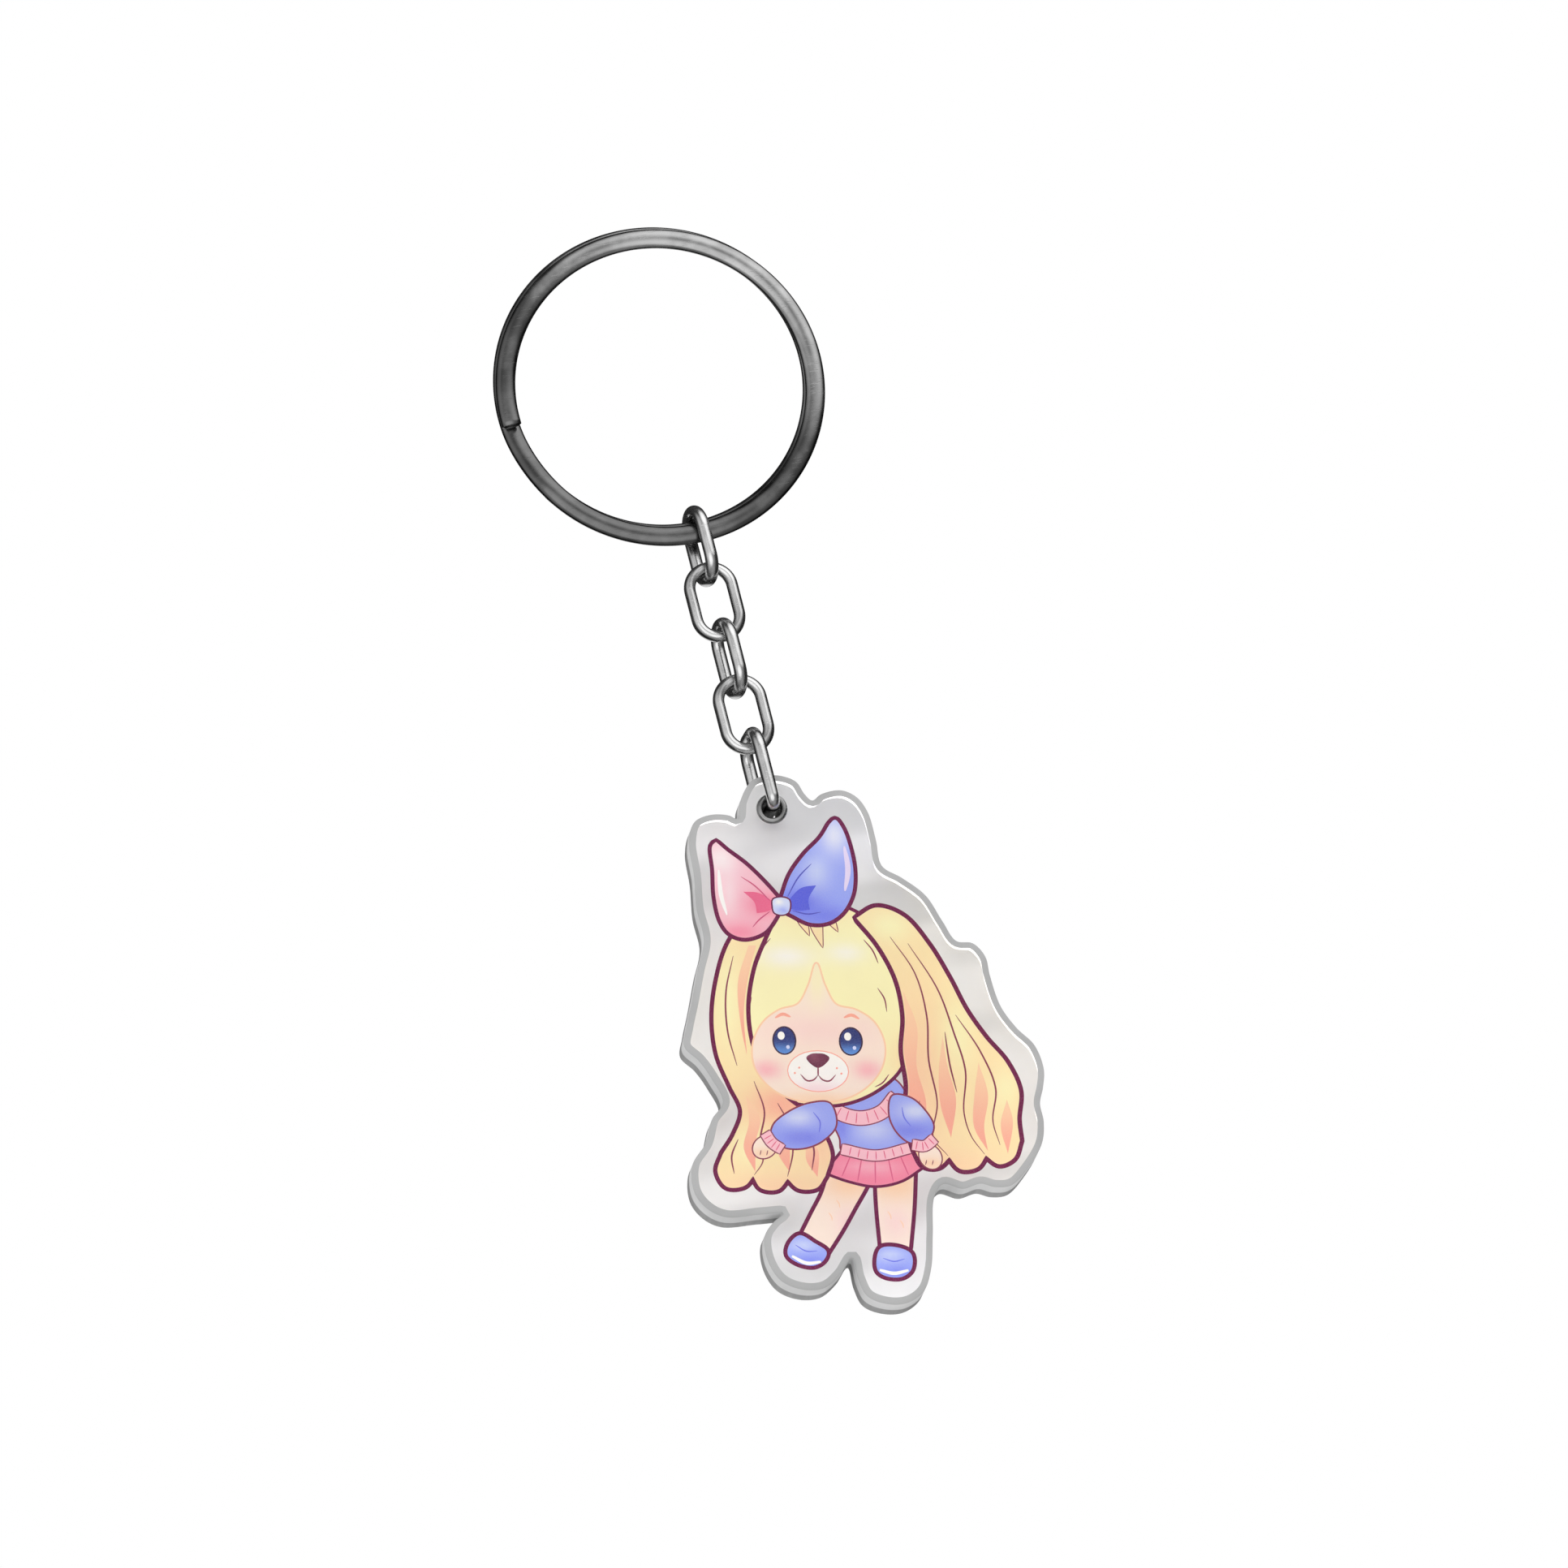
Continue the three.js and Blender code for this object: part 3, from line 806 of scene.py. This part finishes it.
def draw_legs(d):
    for leg, shade in (
        (outline([(4.9, -33.0), (4.2, -35.4), (3.2, -37.4), (2.1, -39.6)], [(2.1, -39.6), (4.3, -41.2)],
                 [(4.3, -41.2), (5.8, -38.8), (6.9, -36.8), (8.2, -34.4), (8.6, -33.0)],
                 [(8.6, -33.0), (4.9, -33.0)]),
         (6.4, -34.6)),
        (outline([(9.0, -33.4), (9.1, -36.7), (9.4, -40.6)], [(9.4, -40.6), (11.8, -40.6)],
                 [(11.8, -40.6), (12.2, -36.7), (12.4, -33.0)], [(12.4, -33.0), (9.0, -33.4)]),
                 (10.7, -34.6)),
    ):
        x, y = shade
        d.fill(leg, CREAM, spot(x, y, 2.6, 1.5, PEACH, 0.9), spot(x, y - 3.6, 1.2, 1.4, PALE_ROSE, 0.35),
               line=PLUM, width=0.38)
    for x, y in ((4.9, -37.6), (5.6, -36.4), (10.2, -37.4), (11.3, -38.2)):
        d.stroke([(x - 0.25, y + 0.3), (x, y - 0.05), (x + 0.05, y - 0.4)], 0.1, PEACH, taper=0.5)
    for shoe, rise in (
        (smooth((2.0, -39.4), (1.1, -40.2), (0.9, -41.2), (1.7, -41.9), (3.2, -42.2), (4.1, -41.7),
                (4.4, -40.9), (3.3, -40.1)),
         -0.55),
        (smooth((9.3, -40.5), (8.9, -41.4), (9.0, -42.6), (9.8, -43.1), (11.2, -43.1), (12.0, -42.4),
                (12.0, -41.0), (10.7, -40.4)),
         0.0),
    ):
        x, y = shoe.mean(0)
        d.fill(shoe, PERIWINKLE, spot(x - 0.3, y + 0.6, 1.3, 0.6, PALE_BLUE, 0.8),
               spot(x + 0.4, y - 0.9, 1.4, 0.5, DEEP_BLUE, 0.5),
               line=PLUM, width=0.38)
        d.stroke([(x - 1.3, y - 0.75 - rise * 0.6), (x, y - 1.05), (x + 1.3, y - 0.75 + rise * 0.3)], 0.32,
                 WHITE, taper=0.6)
        d.stroke([(x - 1.0, y + 0.35 - rise * 0.5), (x, y + 0.05), (x + 1.0, y + 0.3 + rise * 0.4)], 0.12,
                 DEEP_BLUE)


def ribs(d, middle, width, count):
    """A knitted band along a line, with ribs across it."""
    line = catmull_rom(middle, step=0.2)
    side = sided(line) * width / 2
    d.fill(np.vstack([line + side, (line - side)[::-1]]), PALE_ROSE, line=INK, width=0.11)
    for at in np.linspace(0, len(line) - 1, count + 2)[1:-1]:
        k = int(round(at))
        d.stroke([line[k] - side[k] * 0.8, line[k] + side[k] * 0.8], 0.1, DEEP_ROSE, taper=0.6)


def draw_clothes(d):
    d.fill(outline([(6.0, -31.6), (5.3, -32.5), (4.3, -33.5)],
                   [(4.3, -33.5), (6.6, -34.3), (8.9, -34.7), (11.2, -34.2),
                   (13.2, -32.9)], [(13.2, -32.9), (12.6, -32.2), (12.1, -31.4)],
                   [(12.1, -31.4), (9.0, -32.2), (6.0, -31.6)]),
           ROSE, spot(8.6, -33.0, 2.8, 0.7, PALE_ROSE, 0.6), line=PLUM, width=0.26)
    for top, foot in (((6.7, -32.0), (5.9, -33.9)), ((7.7, -32.2), (7.3, -34.35)),
                      ((8.9, -32.3), (8.9, -34.5)),
                      ((10.1, -32.2), (10.5, -34.3)), ((11.2, -32.0), (11.9, -33.7))):
        d.stroke([top, foot], 0.13, DEEP_ROSE, taper=0.5)
    d.fill(smooth((4.4, -26.4), (5.0, -28.6), (5.8, -30.4), (6.0, -31.6), (9.0, -32.1), (12.0, -31.4),
                  (12.2, -29.4),
                  (12.0, -26.8), (10.6, -24.8), (7.0, -24.8)), PERIWINKLE,
                  spot(8.8, -29.6, 1.8, 1.0, PALE_BLUE, 0.75),
           spot(5.8, -29.4, 0.9, 1.4, DEEP_BLUE, 0.6), spot(11.9, -29.6, 0.8, 1.4, DEEP_BLUE, 0.5),
           line=INK, width=0.16)
    ribs(d, [(5.9, -31.4), (9.0, -31.95), (12.1, -31.2)], 0.95, 7)
    ribs(d, [(4.4, -26.8), (5.7, -28.0), (7.7, -28.5), (9.6, -27.9), (10.9, -26.4)], 1.25, 8)


def draw_head(d):
    d.fill(smooth((-1.6, -10.6), (-3.6, -13.0), (-4.6, -16.4), (-4.8, -19.6), (-4.4, -22.6), (-3.2, -24.9),
                  (-1.6, -26.3),
                  (0.8, -26.9), (3.8, -27.3), (6.6, -27.0), (9.2, -25.8), (11.2, -23.9), (12.1, -21.2),
                  (12.3, -18.0),
                  (11.7, -14.8), (10.1, -11.7), (7.8, -9.6), (5.0, -8.6), (2.2, -8.6)), CREAM_YELLOW,
           spot(3.6, -9.0, 5.5, 1.6, HONEY, 0.8), spot(1.2, -13.6, 2.4, 1.1, WHITE, 0.85),
           spot(6.6, -13.2, 1.7, 0.9, WHITE, 0.75),
           spot(11.6, -23, 1.8, 2.6, HONEY, 0.9), spot(-3.6, -23.6, 1.6, 2.2, HONEY, 0.9),
           spot(3.8, -27.2, 5, 0.9, PEACH, 0.8),
           line=PLUM, width=0.32)
    for lock in (
        [[(1.9, -8.8), (2.3, -10.3), (3.3, -11.6)], [(3.3, -11.6), (3.2, -10.2), (3.3, -9.0)]],
        [[(3.1, -8.7), (3.5, -10.9), (4.5, -12.7)], [(4.5, -12.7), (4.5, -10.8), (4.5, -8.8)]],
        [[(4.3, -8.7), (4.9, -10.2), (5.9, -11.2)], [(5.9, -11.2), (5.6, -9.9), (5.4, -8.9)]],
    ):
        d.fill(outline(*lock, [lock[1][-1], lock[0][0]]), HONEY, line=INK, width=0.09)
    for line in ([(-2.4, -25.3), (-1.9, -26.0), (-1.5, -26.4)], [(10.3, -24.4), (9.7, -25.2), (9.0, -25.6)],
                 [(-0.2, -11.9), (-0.9, -12.8), (-1.3, -14.0)], [(8.2, -11.9), (9.0, -12.9), (9.5, -14.1)],
                 [(9.4, -16.4), (10.0, -17.4), (10.2, -18.6)],
                 [(-2.0, -17.4), (-2.2, -18.4), (-2.1, -19.4)]):
        d.stroke(line, 0.13)


def draw_ears(d):
    far = outline(
        [(7.6, -9.9), (9.4, -8.9), (11.8, -9.7), (14.0, -12.3), (15.8, -15.4), (17.3, -18.4), (19.0, -20.9),
         (20.9, -23.2),
         (22.0, -25.8), (21.8, -28.4), (22.0, -30.4)],
        [(22.0, -30.4), (21.4, -32.0), (20.1, -32.6), (18.9, -31.8)],
        [(18.9, -31.8), (18.1, -32.9), (16.6, -33.1), (15.6, -32.0)],
        [(15.6, -32.0), (14.6, -32.9), (13.3, -32.8), (12.5, -31.4)],
        [(12.5, -31.4), (11.8, -28.6), (12.0, -25.4), (11.6, -22.2), (11.8, -19.0), (11.2, -15.6),
         (9.6, -12.4), (7.6, -9.9)],
    )
    d.fill(far, HONEY, spot(12.5, -24.5, 2.6, 7, PEACH, 1.0),
           spot(16.6, -20.6, 1.5, 3.4, CREAM_YELLOW, 0.9),
           spot(20.8, -25.6, 1.2, 1.8, CREAM_YELLOW, 0.8), spot(10.6, -10.6, 2, 1.4, CREAM_YELLOW, 0.9),
           spot(15.6, -33, 6, 1.8, PEACH, 0.7), line=PLUM, width=0.42)
    near = outline(
        [(0.3, -9.5), (-1.9, -9.9), (-3.9, -12.4), (-5.0, -15.8), (-5.45, -19.4), (-5.1, -22.8),
         (-4.0, -25.6), (-3.0, -28.0),
         (-3.7, -30.2), (-4.8, -32.0)],
        [(-4.8, -32.0), (-5.3, -33.6), (-4.5, -35.0), (-2.9, -34.9), (-2.1, -34.0)],
        [(-2.1, -34.0), (-1.4, -35.1), (0.1, -35.2),
         (1.0, -34.2)], [(1.0, -34.2), (2.0, -35.1), (3.6, -35.0), (4.4, -33.9)],
        [(4.4, -33.9), (4.9, -31.8), (3.4, -28.8), (1.0, -26.8), (-0.9, -24.9), (-2.1, -22.0),
         (-2.5, -18.4), (-1.9, -14.6),
         (-0.8, -11.8), (0.3, -9.5)],
    )
    d.fill(near, HONEY, spot(0.6, -27.4, 3.0, 1.8, SALMON, 0.8),
           spot(-4.2, -17.5, 1.3, 4.5, CREAM_YELLOW, 0.9),
           spot(-2.6, -31.4, 1.4, 1.8, CREAM_YELLOW, 0.6), spot(0, -35.2, 5, 1.6, PEACH, 0.9),
           spot(4.2, -31.6, 1.2, 2.4, PEACH, 0.9),
           line=PLUM, width=0.4)
    for shade in (
        [[(11.7, -16.6), (12.9, -20.0), (12.8, -23.6), (13.6, -27.0), (13.3, -30.4)],
         [(13.3, -30.4), (12.5, -31.0)],
         [(12.5, -31.0), (11.9, -28.4), (12.1, -25.4), (11.7, -22.0), (11.9, -19.0), (11.7, -16.6)]],
        [[(15.2, -20.8), (15.6, -23.6), (16.3, -26.6), (15.8, -30.2)],
         [(15.8, -30.2), (14.9, -27.2), (14.8, -24.0), (15.2, -20.8)]],
        [[(18.4, -23.2), (19.2, -26.2), (18.8, -29.2), (19.1, -31.4)],
         [(19.1, -31.4), (17.9, -29.2), (18.0, -26.0), (18.4, -23.2)]],
        [[(20.9, -26.6), (21.4, -28.6), (20.9, -31.6)], [(20.9, -31.6), (20.3, -29.0), (20.9, -26.6)]],
        [[(-2.6, -26.6), (-1.4, -28.6), (-1.8, -30.8), (-1.9, -33.6)],
         [(-1.9, -33.6), (-2.9, -31.4), (-2.4, -29.0), (-2.6, -26.6)]],
        [[(0.4, -28.6), (1.2, -31.0), (1.2, -33.6)], [(1.2, -33.6), (0.1, -31.6), (0.4, -28.6)]],
        [[(2.9, -30.2), (3.8, -31.6), (3.7, -34.0)], [(3.7, -34.0), (2.7, -32.4), (2.9, -30.2)]],
        [[(-2.2, -12.6), (-3.2, -16.0), (-3.0, -20.0), (-2.5, -22.8)],
         [(-2.5, -22.8), (-2.7, -18.6), (-2.1, -14.8), (-1.5, -12.6)],
         [(-1.5, -12.6), (-2.2, -12.6)]],
    ):
        d.fill(outline(*shade), PEACH, fade(shade[0][0], shade[0][-1], SALMON))
    for line in (
        [(10.6, -11.6), (12.8, -15.0), (13.8, -19.0), (13.9, -23.0), (14.6, -27.0), (14.2, -30.2),
         (15.5, -31.9)],
        [(12.2, -12.2), (14.8, -16.4), (16.2, -20.4), (17.2, -24.0), (17.0, -27.8), (17.6, -30.0),
         (18.8, -31.7)],
        [(16.4, -18.8), (18.6, -22.2), (19.9, -25.6), (19.6, -28.6), (20.2, -30.8)],
        [(15.4, -20.4), (15.8, -23.4), (16.4, -26.0)],
        [(13.0, -26.8), (12.9, -29.2), (13.4, -31.0)], [(-3.6, -13.6), (-4.3, -17.0), (-4.2, -20.6),
            (-3.4, -23.8)],
        [(-1.9, -25.2), (-1.0, -28.0), (-1.4, -30.6), (-1.2, -32.6), (-2.0, -33.9)],
        [(0.2, -27.2), (1.4, -29.6), (1.5, -31.8), (1.0, -34.0)],
        [(-3.4, -30.6), (-4.0, -32.2), (-3.8, -33.8)],
        [(2.6, -29.4), (3.4, -31.4), (3.2, -33.4)],
    ):
        d.stroke(line, 0.16)


def draw_arms(d):
    for sleeve, light, fold in (
        (smooth((4.9, -27.2), (3.2, -27.2), (1.3, -28.0), (-0.2, -29.3), (-0.3, -30.6), (0.9, -31.3),
                (2.6, -31.3), (4.2, -30.6),
                (5.4, -29.2)), (2.0, -28.5), [(3.4, -28.0), (4.0, -28.9), (3.9, -29.9)]),
        (smooth((10.6, -26.4), (12.2, -26.6), (13.5, -27.8), (14.2, -29.2), (13.6, -30.4), (12.2, -30.7),
                (11.0, -29.8),
                (10.3, -28.2)), (12.6, -27.8), [(11.4, -27.4), (11.6, -28.4), (12.2, -29.2)]),
    ):
        x, y = sleeve.mean(0)
        d.fill(sleeve, PERIWINKLE, spot(*light, 1.4, 0.8, PALE_BLUE, 0.95),
               spot(x, y - 1.1, 2.4, 0.8, DEEP_BLUE, 0.6), line=INK, width=0.16)
        d.stroke(fold, 0.13, DEEP_BLUE)
    for x, y, turn in ((-1.0, -31.3, 40), (13.9, -32.0, -60)):
        d.fill(ellipse(x, y, 1.15, 0.95, turn), CREAM, spot(x, y - 0.6, 1.2, 0.5, PEACH, 0.8), line=INK,
               width=0.12)
        for side in (-0.35, 0.25):
            d.stroke([(x + side - 0.1, y - 0.75), (x + side, y - 0.3)], 0.1, taper=0.5)
    ribs(d, [(-0.95, -30.0), (-0.35, -30.9), (0.55, -31.5)], 0.95, 4)
    ribs(d, [(12.3, -30.9), (13.4, -31.0), (14.3, -30.3)], 0.95, 4)


def draw_face(d):
    mask = smooth((3.9, -14.2), (4.6, -16.2), (5.6, -18.0), (7.4, -18.5), (9.0, -19.6), (9.9, -21.6),
                  (9.6, -23.8), (8.2, -25.6),
                  (6.2, -26.7), (3.9, -27.0), (1.7, -26.8), (-0.3, -25.8), (-1.7, -24.0), (-1.9, -21.8),
                  (-1.0, -19.8), (0.5, -18.6),
                  (2.2, -18.0), (3.2, -16.2))
    d.fill(mask, CREAM, spot(3.9, -20.4, 5.5, 1.6, PALE_ROSE, 0.35),
           spot(3.9, -15.6, 0.8, 2.2, CREAM_YELLOW, 0.7),
           spot(-0.7, -24.1, 1.2, 0.8, ROSE, 0.5), spot(8.4, -24.0, 1.2, 0.8, ROSE, 0.5),
           spot(3.9, -26.9, 4, 0.7, PEACH, 0.7),
           line=PEACH, width=0.16)
    d.fill(ellipse(3.9, -24.2, 2.7, 1.85), WHITE, spot(3.9, -26.0, 2.2, 0.8, PALE_ROSE, 0.5), line=SALMON,
           width=0.09)
    for x in (0.9, 6.9):
        d.fill(ellipse(x, -21.4, 0.95, 1.2), (46, 56, 122), fade((x, -21.2), (x, -22.5), (96, 150, 226)),
               line=(60, 32, 62), width=0.14)
        d.fill(ellipse(x - 0.28, -20.95, 0.32, 0.38), WHITE)
        d.fill(ellipse(x + 0.32, -22.0, 0.16, 0.18), PALE_BLUE)
        out = math.copysign(1, x - 3.9)
        d.stroke([(x - 0.6 * out, -19.2), (x + 0.1 * out, -18.95), (x + 0.8 * out, -19.3)], 0.3, SALMON,
                 taper=0.3)
    d.fill(smooth((2.85, -22.95), (3.3, -22.6), (3.9, -22.55), (4.5, -22.6), (4.95, -22.95), (4.6, -23.5),
                  (3.9, -23.9), (3.2, -23.5)),
           (112, 48, 76), spot(3.6, -22.8, 0.5, 0.18, PALE_ROSE, 0.9))
    d.stroke([(3.9, -23.8), (3.9, -24.6)], 0.14, taper=0.8)
    d.stroke([(2.3, -24.5), (2.9, -25.1), (3.5, -25.0), (3.9, -24.55)], 0.15)
    d.stroke([(3.9, -24.55), (4.3, -25.0), (4.9, -25.1), (5.5, -24.5)], 0.15)
    for x, y in ((2.2, -23.9), (1.8, -24.4), (5.6, -23.9), (6.0, -24.4)):
        d.fill(ellipse(x, y, 0.1, 0.1, count=10), SALMON)


def draw_bow(d):
    left = outline([(0.6, -8.3), (-0.7, -6.8), (-2.4, -5.1), (-4.1, -3.8), (-5.0, -3.0)],
                   [(-5.0, -3.0), (-5.35, -3.4), (-5.2, -5.6), (-5.1, -8.2), (-4.6, -10.4), (-3.8, -11.5),
                    (-2.5, -11.9),
                    (-0.8, -11.3), (0.2, -10.0), (0.6, -9.2)], [(0.6, -9.2), (0.6, -8.3)])
    d.fill(left, PALE_ROSE, spot(-4.6, -4.6, 1.6, 1.6, WHITE, 0.75), spot(-0.6, -8.8, 1.9, 1.2, ROSE, 0.95),
           spot(-3.0, -11.4, 2.2, 1.0, ROSE, 0.75), spot(-3.9, -7.8, 0.8, 2.0, WHITE, 0.45), line=PLUM,
           width=0.38)
    right = outline([(0.9, -8.2), (1.7, -6.0), (3.0, -4.1), (4.5, -2.5), (5.3, -1.2)],
                    [(5.3, -1.2), (5.8, -0.75), (6.4, -1.5), (7.0, -3.2), (7.4, -5.6), (7.2, -7.7),
                     (6.3, -9.4), (5.0, -10.3),
                     (3.4, -10.4), (1.7, -9.6), (0.9, -9.2)], [(0.9, -9.2), (0.9, -8.2)])
    d.fill(right, PERIWINKLE, spot(5.7, -2.2, 1.4, 1.9, WHITE, 0.75),
           spot(2.4, -8.6, 2.0, 1.3, DEEP_BLUE, 0.95),
           spot(5.0, -9.8, 2.4, 1.0, DEEP_BLUE, 0.7), spot(4.0, -5.6, 1.2, 1.6, PALE_BLUE, 0.8), line=PLUM,
           width=0.38)
    d.fill(outline([(0.4, -8.7), (-1.2, -7.7), (-2.6, -7.6)], [(-2.6, -7.6), (-1.6, -8.6), (-1.4, -9.6)],
                   [(-1.4, -9.6), (-0.4, -9.4), (0.4, -8.9)], [(0.4, -8.9), (0.4, -8.7)]), (240, 108, 146))
    d.fill(outline([(1.2, -8.7), (2.6, -7.2), (4.0, -6.9)], [(4.0, -6.9), (3.3, -8.2), (3.4, -9.2)],
                   [(3.4, -9.2), (2.2, -9.3), (1.2, -8.9)], [(1.2, -8.9), (1.2, -8.7)]), (92, 100, 226))
    d.stroke([(6.6, -3.2), (6.9, -5.4), (6.6, -7.4)], 0.5, (236, 222, 250), taper=0.2)
    d.stroke([(-4.8, -5.6), (-4.6, -8.0), (-4.1, -9.8)], 0.4, WHITE, taper=0.2)
    for line in ([(-0.2, -8.4), (-1.6, -7.0), (-2.8, -6.2)], [(-0.2, -9.4), (-1.2, -10.2), (-1.8, -10.9)]):
        d.stroke(line, 0.13, (214, 84, 126))
    for line in ([(1.4, -8.0), (2.4, -6.2), (3.6, -4.9)], [(1.8, -9.3), (3.2, -9.6), (4.4, -9.4)]):
        d.stroke(line, 0.13, (84, 84, 200))
    d.fill(smooth((0.1, -8.3), (0.85, -8.1), (1.5, -8.3), (1.6, -8.9), (1.4, -9.5), (0.8, -9.7),
                  (0.2, -9.5), (0.05, -8.9)),
           PALE_BLUE, spot(0.6, -8.5, 0.4, 0.3, WHITE, 0.9), spot(1.0, -9.3, 0.5, 0.3, PERIWINKLE, 0.8),
           line=PLUM, width=0.14)


def printed_layer():
    """The film at the charm's mid-depth, short of the charm's edge and open at the hole."""
    margin = inset(charm_edge(0.3), FILM_MARGIN)
    hole_r = PLATE_HOLE_R + FILM_HOLE_GAP
    hole = ellipse(0, 0, hole_r, hole_r, count=48)
    d = Drawing()
    for draw in (draw_legs, draw_clothes, draw_head, draw_ears, draw_face, draw_arms, draw_bow):
        draw(d)
    d.shapes = [(line + PRINT_LIFT, base, [(moved(weight), colour) for weight, colour in touches])
                for line, base, touches in d.shapes]
    d.shapes.insert(0, (margin, WHITE, ()))
    d.shapes.append((hole, WHITE, ()))
    top_shape = len(d.shapes) - 1
    points, edges = [], []
    for line, _, _ in d.shapes:
        first, count = len(points), len(line)
        points += [Vector(p) for p in line]
        edges += [(first + k, first + (k + 1) % count) for k in range(count)]
    every = np.array([tuple(p) for p in points])
    low, high = every.min(0), every.max(0)
    for x in np.arange(low[0], high[0], PRINT_GRID):
        points += [Vector((x, y)) for y in np.arange(low[1], high[1], PRINT_GRID)]
    made, _, triangles, *_ = delaunay_2d_cdt(points, edges, [], 0, 1e-5)
    flat = np.array([tuple(p) for p in made])
    corners = np.array([t for t in triangles if len(t) == 3])
    top = d.topmost(flat[corners].mean(1))
    inside = (top >= 0) & (top < top_shape)
    corners, top = corners[inside], top[inside]
    used, index = np.unique(corners.ravel(), return_inverse=True)
    faces = index.reshape(-1, 3)
    flat = flat[used]
    colours = np.zeros((len(faces), 3, 3))
    for shape in np.unique(top):
        mine = top == shape
        colours[mine] = d.colours(shape, flat[faces[mine]].reshape(-1, 2)).reshape(-1, 3, 3)
    vertices = [on_charm(x, y) for x, y in flat]
    obj = piece("print_layer", vertices, [tuple(map(int, f)) for f in faces], printed_film, "charm",
                ["print_film"])
    c = np.clip(colours.reshape(-1, 3) / 255, 0, 1)
    c = np.where(c <= 0.04045, c / 12.92, ((c + 0.055) / 1.055) ** 2.4)
    layer = obj.data.color_attributes.new("ink", "FLOAT_COLOR", "CORNER")
    printed = np.repeat(top > 0, 3)[:, None].astype(float)
    layer.data.foreach_set("color", np.hstack([c, printed]).ravel())


split_ring()
links()
acrylic_block()
eyelet()
printed_layer()
